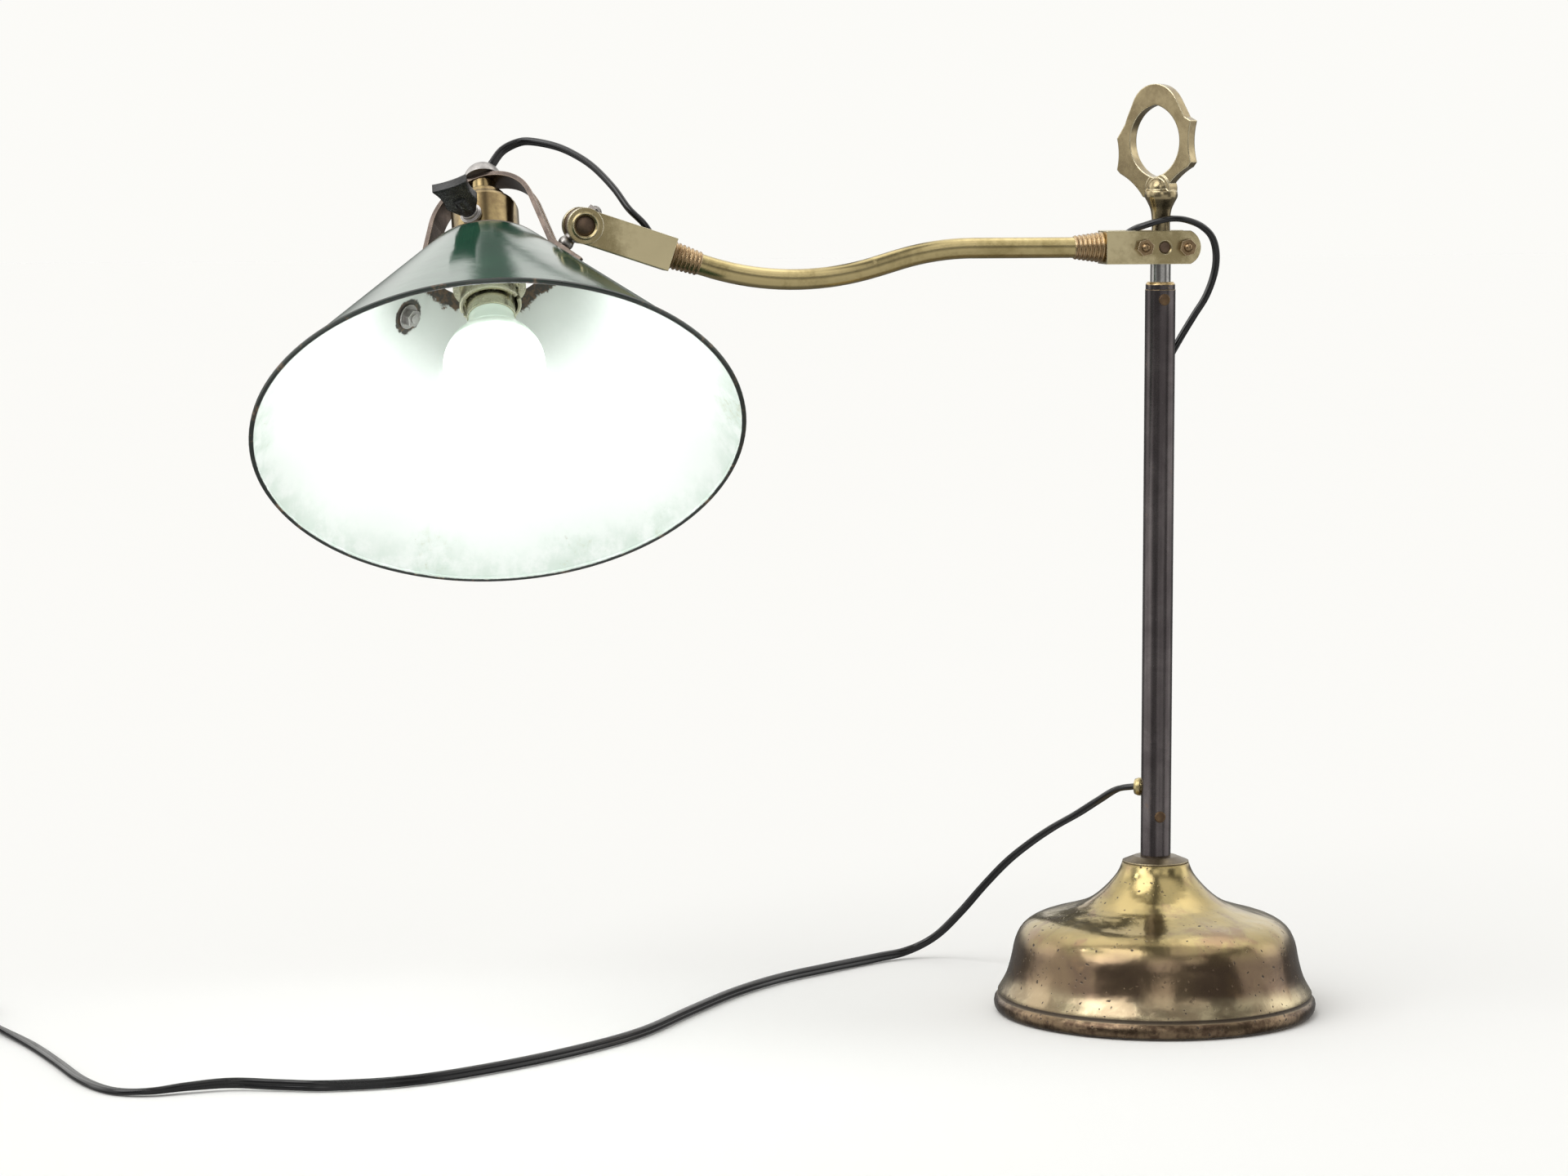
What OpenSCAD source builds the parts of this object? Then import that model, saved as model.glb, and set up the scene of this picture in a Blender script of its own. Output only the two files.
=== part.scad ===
// Articulated desk lamp: enamelled cone shade on a ball-jointed brass arm, heavy bell base.
// Millimetres. Z up, origin at the middle of the base's underside, arm towards -X.

/* [Base] */
// Widest diameter, over the rim bead
base_d = 150; // [130:1:180]
// Height of the shell, up to the collar under the post
base_h = 70; // [60:1:80]
// Wall of the spun shell
base_wall = 1.8; // [1.2:0.1:2.4]
// Thickness of the felt under the base
felt_t = 1.5; // [1:0.1:2]
// Thickness of the closing plate
plate_t = 2.5; // [1.5:0.1:4]

/* [Post] */
// Outside diameter of the post tube
post_d = 14; // [13:0.5:18]
// Wall of the post tube
post_wall = 1.3; // [1:0.1:1.6]
// Height of the top of the post above the table
post_top = 340; // [300:1:380]
// Height of the cord grommet above the base collar
grommet_rise = 32; // [27:1:60]
// Gap from the top of the post to the arm pivot
pivot_rise = 16; // [15:0.5:22]
// Diameter of the steel rod that carries the fork
rod_d = 9.4; // [8.6:0.1:9.6]

/* [Ring handle] */
// Turn of the ring about the post
ring_turn = -53; // [-90:1:90]
// Thickness of the cast ring
ring_t = 5; // [4:0.1:7]
// Half width of the ring's opening
ring_hole_w = 14; // [12:0.5:16]
// Half height of the ring's opening
ring_hole_h = 16.6; // [15.6:0.1:18]
// Sideways set of the ring on its stem
ring_set = -2.2; // [-3:0.1:1]

/* [Arm] */
// Outside diameter of the arm tube
arm_d = 9.5; // [9:0.1:11]
// Bore of the arm tube
arm_bore = 6.9; // [6.7:0.1:7.5]
// Straight run from the post axis to the first bend
rear_run = 89; // [70:1:120]
// Radius of the downward bend
dip_r = 123; // [100:1:160]
// Angle of the downward bend
dip_angle = 16.5; // [10:0.5:22]
// Straight run between the bends
mid_run = 11; // [5:1:30]
// Radius of the upward bend
lift_r = 134; // [100:1:170]
// Angle of the upward bend
lift_angle = 34.7; // [25:0.1:42]
// Straight run from the last bend to the head ball
front_run = 57.8; // [57:0.1:80]

/* [Forks] */
// Height of both forks
fork_h = 15.3; // [14:0.1:18]
// Gap between the fork plates
fork_gap = 10.2; // [10:0.1:11]
// Thickness of each fork plate
fork_plate = 2.4; // [2:0.1:3]
// Radius of the pierced ball at the post
pivot_ball_r = 6.5; // [6.2:0.1:7]
// Radius of the ball at the head
head_ball_r = 8; // [7.6:0.1:8.4]
// Distance of each fork bolt from the pivot
bolt_reach = 10.1; // [9.5:0.1:12]
// Running clearance of the balls on their pins
run_gap = 0.05; // [0.02:0.01:0.1]

/* [Shade] */
// Radius of the opening at the top
shade_top_r = 27.8; // [26.5:0.1:30]
// Radius of the mouth
shade_mouth_r = 109; // [90:1:125]
// Half angle of the cone
shade_slope = 38.8; // [36:0.1:42]
// Wall of the enamelled sheet
shade_wall = 0.9; // [0.7:0.1:1.2]
// Rise of the stud that carries the head
stud_rise = 45; // [35:1:55]
// Sideways lean of the stud
stud_side = 5.3; // [0:0.1:7]
// Turn of the shade about the stud
shade_spin = -50.5; // [-70:0.5:-30]

/* [Yoke] */
// Width of the strap
strap_w = 11; // [10:0.5:13]
// Inner radius of the arch
arch_r = 24.2; // [23:0.1:26]
// Height of the arch's centre over the shade's top edge
arch_c = 20; // [18:0.5:23]
// Splay of the legs from the arch
leg_splay = 15; // [12:1:18]
// Distance of the feet's bolts from the shade axis
yoke_bolt_r = 41.4; // [40.8:0.1:43]

/* [Lampholder] */
// Radius of the holder's cap
cap_r = 15.3; // [15:0.1:17]
// Radius of the bayonet barrel
barrel_r = 13.2; // [13:0.1:13.6]
// Radius of the round lamp
bulb_r = 22.5; // [18:0.5:26]
// Length of the switch key
key_len = 20.5; // [18:0.5:28]

/* [Cord] */
// Width of the flat twin cord
cord_w = 4.8; // [4.4:0.1:5]
// Thickness of the flat twin cord
cord_t = 2.8; // [2.5:0.1:3]
// Whole turns in each layer of the put-away coil
coil_turns = 3; // [2:1:4]
// Outer radius of the coil, to the cord's middle
coil_r = 31; // [28:1:40]

/* [Hidden] */
$fn = 48;
slip = 0.05;
weld = 0.03;
base_r = base_d / 2;
post_r = post_d / 2;
post_in = post_r - post_wall;
rod_r = rod_d / 2;
arm_r = arm_d / 2;
pivot_z = post_top + pivot_rise;
brass = [0.72, 0.57, 0.30];
bronze = [0.45, 0.30, 0.20];
steel = [0.62, 0.62, 0.62];
dark = [0.20, 0.16, 0.13];
black = [0.06, 0.06, 0.07];

// Vector helpers and a smooth curve through hand-placed points
function unit(v) = v / norm(v);
function knot(p, i) = p[max(0, min(len(p) - 1, i))];
function bend(a, b, c, d, t) =
    0.5 * (2 * b + (c - a) * t + (2 * a - 5 * b + 4 * c - d) * t * t
    + (3 * b - a - 3 * c + d) * t * t * t);
function smooth(p, n) = [
    for (i = [0 : len(p) - 2])
        for (k = [0 : n - 1])
            bend(knot(p, i - 1), p[i], p[i + 1], knot(p, i + 2), k / n),
    p[len(p) - 1]
];
function rx(a, v) = [v[0], v[1] * cos(a) - v[2] * sin(a), v[1] * sin(a) + v[2] * cos(a)];
function ry(a, v) = [v[0] * cos(a) + v[2] * sin(a), v[1], v[2] * cos(a) - v[0] * sin(a)];
function rz(a, v) = [v[0] * cos(a) - v[1] * sin(a), v[0] * sin(a) + v[1] * cos(a), v[2]];
function along(p, i) = unit(knot(p, i + 1) - knot(p, i - 1));

// Base heights, from the table up
plate_z = felt_t + plate_t;
collar_h = 3;
collar_z = base_h + collar_h;
grommet_z = collar_z + grommet_rise;
tie_r = 4;
well_r = 14;
well_h = 16;
washer_t = 1.6;
nut_h = 6.5;
spigot_h = 25;
lower_rivet_z = collar_z + spigot_h - 6;
upper_rivet_z = post_top - 8;
rivet_r = 2.5;
rivet_out = 0.5;
cap_rim = 3.5;
seat_gap = 0.1;
rod_top_r = 3;
ball_flat = 5;
rod_low = post_top - 22;
stem_z = pivot_z + ball_flat + seat_gap;
thread_len = 12;

// Shell outline from the collar to the rim, as shares of base radius and height
base_knots = [
    [0.207, 1], [0.24, 0.92], [0.33, 0.81], [0.44, 0.725], [0.60, 0.665], [0.74, 0.62],
    [0.825, 0.56], [0.87, 0.47], [0.893, 0.355], [0.925, 0.235], [0.976, 0.135]
];
base_out = smooth([for (k = base_knots) [k[0] * base_r, k[1] * base_h]], 3);
base_in = [
    for (i = [0 : len(base_out) - 1])
        let (t = along(base_out, i))
            base_out[i] + base_wall * [t[1], -t[0]]
];
rim_in = base_r * 0.95;

// Arm line in its own plane: distance from the post axis, height over the pivot
front_rise = lift_angle - dip_angle;
dip_end = [rear_run + dip_r * sin(dip_angle), -dip_r * (1 - cos(dip_angle))];
mid_end = dip_end + mid_run * [cos(dip_angle), -sin(dip_angle)];
lift_end = mid_end
    + lift_r * [sin(front_rise) + sin(dip_angle), cos(dip_angle) - cos(front_rise)];
front_dir = [cos(front_rise), sin(front_rise)];
front_up = [-sin(front_rise), cos(front_rise)];
ball_at = lift_end + front_run * front_dir;
head_ball = [-ball_at[0], 0, pivot_z + ball_at[1]];
function on_front(u, v) = ball_at - u * front_dir + v * front_up;
function in_arm(p, y) = [-p[0], y, pivot_z + p[1]];

// Forks: lengths from the ball centres
rear_block = 21;
rear_len = 27.8;
rear_tail = 17;
rear_seat = 25;
front_block = 35;
front_len = 42;
front_seat = 39;
fork_half = fork_gap / 2 + fork_plate;
bolt_r = 2;
nut_flats = 7;
fork_nut_h = 3.2;
cup_r = 8.2;
cup_window_r = 4.5;
rear_window_r = 2.5;
cup_dome = 10.2;
ferrule_len = 14;

// Head frame: shade axis up Z, right foot along X, zero at the shade's top edge
stud_r = 34.2;
stud_len = 16;
web_t = 1.3;
foot_t = web_t + 2 * weld;
bead_t = 2.1;
bead_w = 1.9;
function cone_z(r) = (shade_top_r - r) / tan(shade_slope);
cone_n = [cos(shade_slope), 0, sin(shade_slope)];
ball_in_head = [stud_r, 0, cone_z(stud_r)] + stud_len * cone_n;
function head_turn(v) =
    ry(-stud_rise, rz(stud_side, rx(shade_spin, ry(shade_slope, v))));
function head_pt(p) = head_ball + head_turn(p - ball_in_head);
shade_h = -cone_z(shade_mouth_r);
arch_top = arch_c + arch_r + bead_t;
leg_at = [arch_r * cos(leg_splay), arch_c + arch_r * sin(leg_splay)];
leg_len = (leg_at[1] - cone_z(leg_at[0]))
    / (cos(leg_splay) - sin(leg_splay) / tan(shade_slope));
knee = leg_at + leg_len * [sin(leg_splay), -cos(leg_splay)];
foot_end = yoke_bolt_r + 4;
nipple_r = 4.8;
dome_r = 8.8;
outlet_lean = 33;
cap_low = 2.7;
cap_shoulder = arch_c + 7;
cap_top = cap_shoulder + 9.3;
neck_r = 5.8;
neck_top = arch_c + sqrt(arch_r * arch_r - neck_r * neck_r) - slip;
barrel_low = -27;
barrel_in = 12.3;
lamp_cap_r = 10.9;
lamp_cap_z = -9.5;
lamp_cap_len = 24;
glass_t = 1;
glass_drop = 27;
key_z = 14.5;
key_from = 19.6;
key_t = 4.4;
key_half = 8.2;
shaft_r = 1.7;

// Cord routes. Loop points are offsets from the ball they hang over.
lead_out = [5.2, 0, 54.6 + arch_top - 46.3];
head_route = concat(
    [head_pt(lead_out)],
    [
        for (p = [
            [-28, 55, 33], [-21, 57, 36.5], [-15, 55, 37.3], [-5, 46.5, 35.2], [2.6, 37, 31.4],
            [9.6, 26, 25.6], [16.4, 13, 16.5], [21.7, 5, 7.5], [27.7, 1, 1]
        ])
            head_ball + p
    ],
    [in_arm(on_front(31, 5.6), 0)]
);
head_out = head_turn([sin(outlet_lean), 0, cos(outlet_lean)]);
front_in = unit(in_arm(on_front(35, 2.9), 0) - head_ball - [27.7, 1, 1]);
rear_out = unit([0, 0, pivot_z] + [-14.5, -2, 8] - in_arm([25, 1], 0));
post_in_at = [post_r - 0.8, post_r / 2, post_top - 34];
post_route = concat(
    [in_arm([20, 3.8], -0.6)],
    [
        for (p = [
            [-14.5, -2, 8], [-10, -6.2, 10.2], [-1.8, -9, 12.7], [4.5, -9, 13.2], [11.3, -7, 12.1],
            [18.2, -5, 9.4], [23.6, -3, 4.6], [26.3, -1, -2.9], [26.2, 1, -12], [23, 3, -22.6],
            [17.7, 4.5, -31.7], [12.2, 5, -40.7]
        ])
            [0, 0, pivot_z] + p
    ],
    [post_in_at]
);
entry_dir = unit([5.5, 1.4, 8.6]);
arm_route = [
    for (p = smooth(concat(
        [on_front(31, 5.6), on_front(35, 2.9), on_front(39, 0.7), on_front(45, -0.4), on_front(55, 0)],
        [
            for (i = [3 : -1 : 0])
                let (a = dip_angle - lift_angle * i / 3)
                    mid_end + lift_r * [sin(dip_angle) - sin(a), cos(dip_angle) - cos(a)]
        ],
        [
            for (i = [2 : -1 : 0])
                let (a = dip_angle * i / 2)
                    [rear_run + dip_r * sin(a), -dip_r * (1 - cos(a))]
        ],
        [[rear_run / 2, 0], [32, 0], [25, 1], [20, 3.8]]
    ), 2))
        in_arm(p, p[0] < 24 ? -0.15 * (24 - p[0]) : 0)
];
grommet_way = [cos(150), sin(150), 0];
grommet_out = 3;
post_lead_route = smooth([
    post_in_at, post_in_at - 4 * entry_dir, [0.8, 0.4, post_top - 46], [0, 0, post_top - 62],
    [0, 0, (post_top + grommet_z) / 2], [0, 0, grommet_z + 18],
    grommet_way * 1.6 + [0, 0, grommet_z + 5.5], grommet_way * 5.5 + [0, 0, grommet_z + 0.4],
    grommet_way * (post_r + grommet_out) + [0, 0, grommet_z]
], 2);

// Mains cord: x, y, z and the turn of its flat side, 0 lying flat and 90 on edge
edge_z = cord_w / 2 + 0.1;
flat_z = cord_t / 2 + 0.1;
coil_lift = edge_z + 0.9;
coil_at = [-572, 100];
// From the grommet to the table, with heights as shares of the grommet's
hang_route = [
    [-15.6, 11.2, 0.981], [-21.2, 23, 0.916], [-26.6, 41, 0.83], [-33, 60, 0.743],
    [-39, 80, 0.643], [-45, 100, 0.529], [-51.5, 119.5, 0.388], [-59.2, 136, 0.236]
];
mains_route = concat(
    [concat(grommet_way * (post_r + grommet_out) + [0, 0, grommet_z], [0])],
    [for (p = hang_route) [p[0], p[1], p[2] * grommet_z, p[2] > 0.3 ? 0 : 10]],
    [
        [-69, 147.5, edge_z + 8.7, 30], [-82.5, 150.5, edge_z + 1.4, 60], [-100, 142.5, edge_z, 85],
        [-131, 120.5, edge_z, 90], [-159, 99, edge_z, 90], [-187, 69, edge_z, 90],
        [-216, 29, edge_z, 90], [-246, -14, edge_z, 90], [-278, -45, edge_z, 90],
        [-318, -74, edge_z, 90], [-361, -96, edge_z, 90], [-396, -99.5, edge_z, 90],
        [-418, -94, edge_z + 0.2, 88], [-438, -88.5, edge_z + 0.7, 75], [-457, -90, edge_z + 0.3, 45],
        [-474, -92.5, edge_z - 0.5, 18], [-489, -85, flat_z, 3], [-500, -61, flat_z, 0],
        [-509, -20, flat_z, 0], [-518, 18, flat_z, 0]
    ],
    [
        [coil_at[0] + coil_r + 11, coil_at[1] - 45, flat_z + 0.5, 30],
        [coil_at[0] + coil_r + 0.7, coil_at[1] - 16, coil_lift - 0.3, 80],
        [coil_at[0] + coil_r, coil_at[1], coil_lift, 90]
    ]
);

// Put-away coil: spirals in on the lower layer, climbs, spirals out on the upper layer
coil_pitch = cord_t + 0.7;
coil_layer = cord_w + 0.7;
coil_core = coil_r - coil_pitch * coil_turns;
coil_half = 360 * coil_turns;
coil_whole = 2 * coil_half + 180;
coil_step = 15;
function coil_at_turn(a) =
    let (r = a < coil_half ? coil_r - coil_pitch * a / 360
        : a < coil_half + 180 ? coil_core
        : coil_core + coil_pitch * (a - coil_half - 180) / 360)
    let (rise = max(0, min(1, (a - coil_half) / 180)))
        [coil_at[0] + r * cos(a), coil_at[1] + r * sin(a), coil_lift + coil_layer * rise];
coil_leave = [sin(coil_whole), -cos(coil_whole), 0] * -1;
coil_line = concat(
    [for (a = [0 : coil_step : coil_whole]) coil_at_turn(a)],
    [for (s = [1, 2]) coil_at_turn(coil_whole) + coil_leave * cord_w * s]
);
coil_end = coil_line[len(coil_line) - 1];
coil_gap = min([
    for (i = [0 : 2 : len(coil_line) - 1])
        for (j = [i + 12 : len(coil_line) - 1])
            let (d = coil_line[j] - coil_line[i])
                max(norm([d[0], d[1]]) - cord_t, abs(d[2]) - cord_w)
]);
echo(least_coil_gap = coil_gap);
sleeve_len = 24;
plug_len = 36;
plug_w = 35;
plug_h = 14;
pin_gap = 19;
pin_r = 2;
pin_len = 19;

// Cross-sections of the flat twin cord
function flat8() = [
    for (q = [[1, 0.36], [0.54, 1], [-0.54, 1], [-1, 0.36], [-1, -0.36], [-0.54, -1], [0.54, -1], [1, -0.36]])
        [q[0] * cord_w / 2, q[1] * cord_t / 2]
];
function flat6() = [
    for (q = [[1, 0], [0.5, 1], [-0.5, 1], [-1, 0], [-0.5, -1], [0.5, -1]])
        [q[0] * cord_w / 2, q[1] * cord_t / 2]
];
function pos3(p) = [p[0], p[1], p[2]];
// Wide side of the cord at one point, held square to its run
function wide(t, ref) = unit(ref - (ref * t) * t);
function laid(t, turn) =
    let (s = unit(cross([0, 0, 1], t)))
        cos(turn) * s + sin(turn) * cross(t, s);

// Tangents along a line, with the two end faces set square to given directions
function headings(line, first, last) = [
    for (i = [0 : len(line) - 1])
        i == 0 ? first : i == len(line) - 1 ? last : along(line, i)
];

module sweep(line, runs, sides, section) {
    n = len(section);
    m = len(line);
    rings = [
        for (i = [0 : m - 1])
            let (w = wide(runs[i], sides[i]), h = cross(runs[i], w))
                for (q = section) line[i] + q[0] * w + q[1] * h
    ];
    walls = [
        for (i = [0 : m - 2])
            for (k = [0 : n - 1])
                let (a = i * n + k, b = i * n + (k + 1) % n)
                    each [[a, b, a + n], [b, b + n, a + n]]
    ];
    ends = [
        [for (k = [n - 1 : -1 : 0]) k],
        [for (k = [0 : n - 1]) (m - 1) * n + k]
    ];
    polyhedron(
        points = rings,
        faces = [for (f = concat(walls, ends)) [f[0], for (k = [len(f) - 1 : -1 : 1]) f[k]]]
    );
}

module cord_ref(line, first, last, ref) {
    sweep(line, headings(line, first, last), [for (p = line) ref], flat8());
}

module cross_pin(r, z, h) {
    translate([0, 0, z])
        rotate([90, 0, 0])
            cylinder(r = r, h = h, center = true);
}

module from_post(way, z) {
    translate([0, 0, z])
        rotate([0, 0, way])
            rotate([0, 90, 0])
                children();
}

module at_pivot() {
    translate([0, 0, pivot_z])
        mirror([1, 0, 0])
            children();
}

module at_head_ball() {
    at_pivot()
        translate([ball_at[0], 0, ball_at[1]])
            rotate([0, -front_rise, 0])
                rotate([0, 0, 180])
                    children();
}

module at_head() {
    translate(head_ball)
        rotate([0, -stud_rise, 0])
            rotate([0, 0, stud_side])
                rotate([shade_spin, 0, 0])
                    rotate([0, shade_slope, 0])
                        translate(-ball_in_head)
                            children();
}

// Z along the cone's outward normal, X down its slope
module on_cone(r) {
    translate([r, 0, cone_z(r)])
        rotate([0, 90 - shade_slope, 0])
            children();
}

module both_feet() {
    for (turn = [0, 180])
        rotate([0, 0, turn])
            on_cone(yoke_bolt_r)
                children();
}

module hex_nut(flats, h, hole) {
    difference() {
        cylinder(d = flats / cos(30), h = h, $fn = 6);
        translate([0, 0, -1])
            cylinder(r = hole, h = h + 2);
    }
}

// Base body

module base_shell() {
    rim = [
        [base_r * 0.968, base_h * 0.118], [base_r * 0.985, 6.9], [base_r * 0.996, 5.8], [base_r, 4.2],
        [base_r * 0.997, 2.4], [base_r * 0.988, 1], [base_r * 0.976, 0.5], [rim_in, 0.5]
    ];
    lining = [for (p = base_in) if (p[1] < base_h - 2 * base_wall && p[1] > plate_z + 2) p];
    color(brass)
        rotate_extrude($fn = 96)
            polygon(concat(
                [[tie_r + 0.2, base_h]], base_out, rim, [[rim_in, plate_z + 0.4]],
                [for (i = [len(lining) - 1 : -1 : 0]) lining[i]],
                [[base_r * 0.19, base_h - base_wall], [tie_r + 0.2, base_h - base_wall]]
            ));
}

module base_plate() {
    color(steel)
        translate([0, 0, felt_t])
            difference() {
                cylinder(r = rim_in - slip, h = plate_t, $fn = 96);
                for (turn = [0, 120, 240])
                    rotate([0, 0, turn])
                        translate([base_r * 0.6, 0, -1])
                            cylinder(r = 2.1, h = plate_t + 2);
            }
}

module plate_screws() {
    color(steel)
        for (turn = [0, 120, 240])
            rotate([0, 0, turn])
                translate([base_r * 0.6, 0, felt_t])
                    cylinder(r = 2, h = plate_t + 8);
}

module ballast_weight() {
    boss = base_r * 0.15;
    color(dark)
        difference() {
            rotate_extrude($fn = 96)
                polygon([
                    [tie_r + 0.2, plate_z], [base_r * 0.84, plate_z], [base_r * 0.84, base_h * 0.36],
                    [base_r * 0.77, base_h * 0.50], [base_r * 0.6, base_h * 0.57], [boss + 3, base_h * 0.62],
                    [boss, base_h * 0.66], [boss, base_h - base_wall], [tie_r + 0.2, base_h - base_wall]
                ]);
            translate([0, 0, plate_z - 1])
                cylinder(r = well_r, h = well_h + 1);
            for (turn = [0, 120, 240])
                rotate([0, 0, turn])
                    translate([base_r * 0.6, 0, plate_z - 1])
                        cylinder(r = 2 + slip, h = 10);
        }
}

module base_felt() {
    color([0.16, 0.24, 0.18])
        cylinder(r = rim_in - 1.5, h = felt_t, $fn = 96);
}

module base_collar() {
    color(brass)
        difference() {
            translate([0, 0, base_h])
                rotate_extrude()
                    polygon([
                        [tie_r + 0.2, 0], [base_r * 0.205, 0], [base_r * 0.205, 0.8],
                        [post_r + 3, collar_h], [tie_r + 0.2, collar_h]
                    ]);
        }
}

module tie_stud() {
    low = plate_z + well_h - washer_t - nut_h - 1.5;
    color(steel)
        translate([0, 0, low])
            cylinder(r = tie_r, h = collar_z + 15 - low);
}

module tie_washer() {
    color(steel)
        translate([0, 0, plate_z + well_h - washer_t])
            difference() {
                cylinder(r = 11, h = washer_t);
                translate([0, 0, -1])
                    cylinder(r = tie_r + slip, h = washer_t + 2);
            }
}

module tie_nut() {
    color(steel)
        translate([0, 0, plate_z + well_h - washer_t - nut_h])
            hex_nut(13, nut_h, tie_r + slip);
}

module post_spigot() {
    color(brass)
        difference() {
            translate([0, 0, collar_z])
                cylinder(r = post_in - slip, h = spigot_h);
            translate([0, 0, collar_z - 1])
                cylinder(r = tie_r + slip, h = 16.2);
            cross_pin(rivet_r + slip, lower_rivet_z, post_d * 2);
        }
}

module post_tube() {
    color(dark)
        difference() {
            translate([0, 0, collar_z])
                cylinder(r = post_r, h = post_top - cap_rim - collar_z);
            translate([0, 0, collar_z - 1])
                cylinder(r = post_in, h = post_top);
            cross_pin(rivet_r + slip, lower_rivet_z, post_d * 2);
            cross_pin(rivet_r + slip, upper_rivet_z, post_d * 2);
            from_post(150, grommet_z)
                cylinder(r = 3.4 + slip, h = post_d);
            translate(post_in_at)
                rotate([0, acos(entry_dir[2]), atan2(entry_dir[1], entry_dir[0])])
                    cylinder(r = 3, h = 16, center = true);
        }
}

module post_bush() {
    color(brass)
        difference() {
            union() {
                translate([0, 0, post_top - 20])
                    cylinder(r = post_in - slip, h = 20 - cap_rim + 0.5);
                translate([0, 0, post_top - cap_rim])
                    rotate_extrude() {
                        square([post_r - 0.9, cap_rim]);
                        square([post_r - 0.2, cap_rim - 1.5]);
                        translate([post_r - 1.7, cap_rim - 1.5])
                            circle(r = 1.5, $fn = 32);
                    }
            }
            translate([0, 0, post_top - 30])
                cylinder(r = rod_r + slip, h = 40);
            cross_pin(rivet_r + slip, upper_rivet_z, post_d * 2);
        }
}

module post_rivets() {
    color(bronze)
        for (z = [lower_rivet_z, upper_rivet_z])
            intersection() {
                cross_pin(rivet_r, z, post_d * 2);
                translate([0, 0, z])
                    sphere(r = post_r + rivet_out);
            }
}

module neck_rod() {
    color(steel)
        difference() {
            union() {
                translate([0, 0, rod_low])
                    cylinder(r = rod_r, h = pivot_z - ball_flat - seat_gap - rod_low);
                translate([0, 0, rod_low])
                    cylinder(r = rod_top_r, h = stem_z + thread_len - 1 - rod_low);
            }
            cross_pin(rivet_r + slip, upper_rivet_z, post_d * 2);
        }
}

// Outline of the cast ring: round crown, four horns, scalloped flanks, pointed lug
module ring_outline() {
    crown_r = ring_hole_w - 0.5;
    horn = ring_hole_w + 6.6;
    difference() {
        union() {
            translate([0, 12.6])
                circle(r = crown_r, $fn = 64);
            polygon([
                [-crown_r * 0.86, 19.6], [-horn + 4.8, 10.6], [-horn + 3.8, 7.8], [-horn + 1.4, 4.2],
                [-horn - 1, 0.8], [-horn - 0.6, -13.4], [-9.5, -24.5], [0, -27.7], [8.5, -24.5],
                [horn, -9.4], [horn - 0.4, 9.4], [horn - 3.8, 11], [crown_r * 0.86, 19.6]
            ]);
        }
        translate([-horn - 26.6, -6.2])
            circle(r = 26.8, $fn = 128);
        translate([horn + 30.2, 0])
            circle(r = 31.8, $fn = 128);
        translate([-horn - 11.2, -44])
            circle(r = 31.4, $fn = 128);
        translate([horn + 12.7, -42])
            circle(r = 33.6, $fn = 128);
    }
}

// Opening: two arcs that meet in a slight point
module ring_opening() {
    sum = ring_hole_h * ring_hole_h / ring_hole_w;
    arc_r = (sum + ring_hole_w) / 2;
    intersection_for (side = [-1, 1])
        translate([side * (arc_r - ring_hole_w), 0])
            circle(r = arc_r, $fn = 96);
}

module ring_handle() {
    eye_z = stem_z + 43.4;
    boss_z = stem_z + 21.6;
    stem = concat(
        [[rod_top_r + slip, 0]],
        smooth([[4.5, 0], [4.2, 4], [4.3, 8.4], [4.9, 12.2], [6.2, 15.2], [7.6, 18], [7.4, 20.4]], 3),
        [[5.6, 22.2], [0, 22.6], [0, thread_len], [rod_top_r + slip, thread_len]]
    );
    color(brass)
        rotate([0, 0, ring_turn])
            difference() {
                union() {
                    translate([ring_set, 0, eye_z])
                        rotate([90, 0, 0])
                            linear_extrude(ring_t, center = true)
                                ring_outline();
                    translate([0, 0, boss_z])
                        rotate([90, 0, 0]) {
                            cylinder(r = 6.8, h = ring_t + 1.6, center = true);
                            for (side = [-1, 1])
                                translate([0, 0, side * (ring_t / 2 - 3.5)])
                                    sphere(r = 5.6);
                        }
                    translate([0, 0, stem_z])
                        rotate_extrude()
                            polygon(stem);
                }
                translate([ring_set, 0, eye_z])
                    rotate([90, 0, 0])
                        linear_extrude(ring_t * 4, center = true)
                            ring_opening();
            }
}

module cord_grommet() {
    color(brass)
        from_post(150, grommet_z)
            rotate_extrude()
                polygon([
                    [2.75, post_in + 0.1], [3.4, post_in + 0.1], [3.4, post_r + 0.2], [4.2, post_r + 0.2],
                    [4.2, post_r + 1.4], [3.6, post_r + grommet_out], [2.75, post_r + grommet_out]
                ]);
}

module post_lead() {
    color(black)
        cord_ref(post_lead_route, -entry_dir, grommet_way, [0.5, 0.87, 0]);
}

module mains_cord() {
    line4 = smooth(mains_route, 2);
    line = [for (p = line4) pos3(p)];
    runs = headings(line, grommet_way, [0, 1, 0]);
    color(black)
        sweep(line, runs, [for (i = [0 : len(line) - 1]) laid(runs[i], line4[i][3])], flat8());
}

module mains_coil() {
    color(black)
        sweep(coil_line, headings(coil_line, [0, 1, 0], coil_leave), [for (p = coil_line) [0, 0, 1]], flat6());
}

module coil_tie() {
    band = 0.8;
    in_r = coil_core - cord_t / 2 - 0.2;
    out_r = coil_r + cord_t / 2 + 0.2;
    high = 2 * cord_w + 0.7 + 0.4;
    color(black)
        translate([coil_at[0], coil_at[1], coil_lift - cord_w / 2 - 0.2])
            rotate([0, 0, -60])
                translate([(in_r + out_r) / 2, 0, high / 2])
                    difference() {
                        cube([out_r - in_r + 2 * band, 5, high + 2 * band], center = true);
                        cube([out_r - in_r, 6, high], center = true);
                    }
}

module at_plug() {
    translate(coil_end)
        rotate([0, 0, atan2(coil_leave[1], coil_leave[0])])
            children();
}

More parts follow.
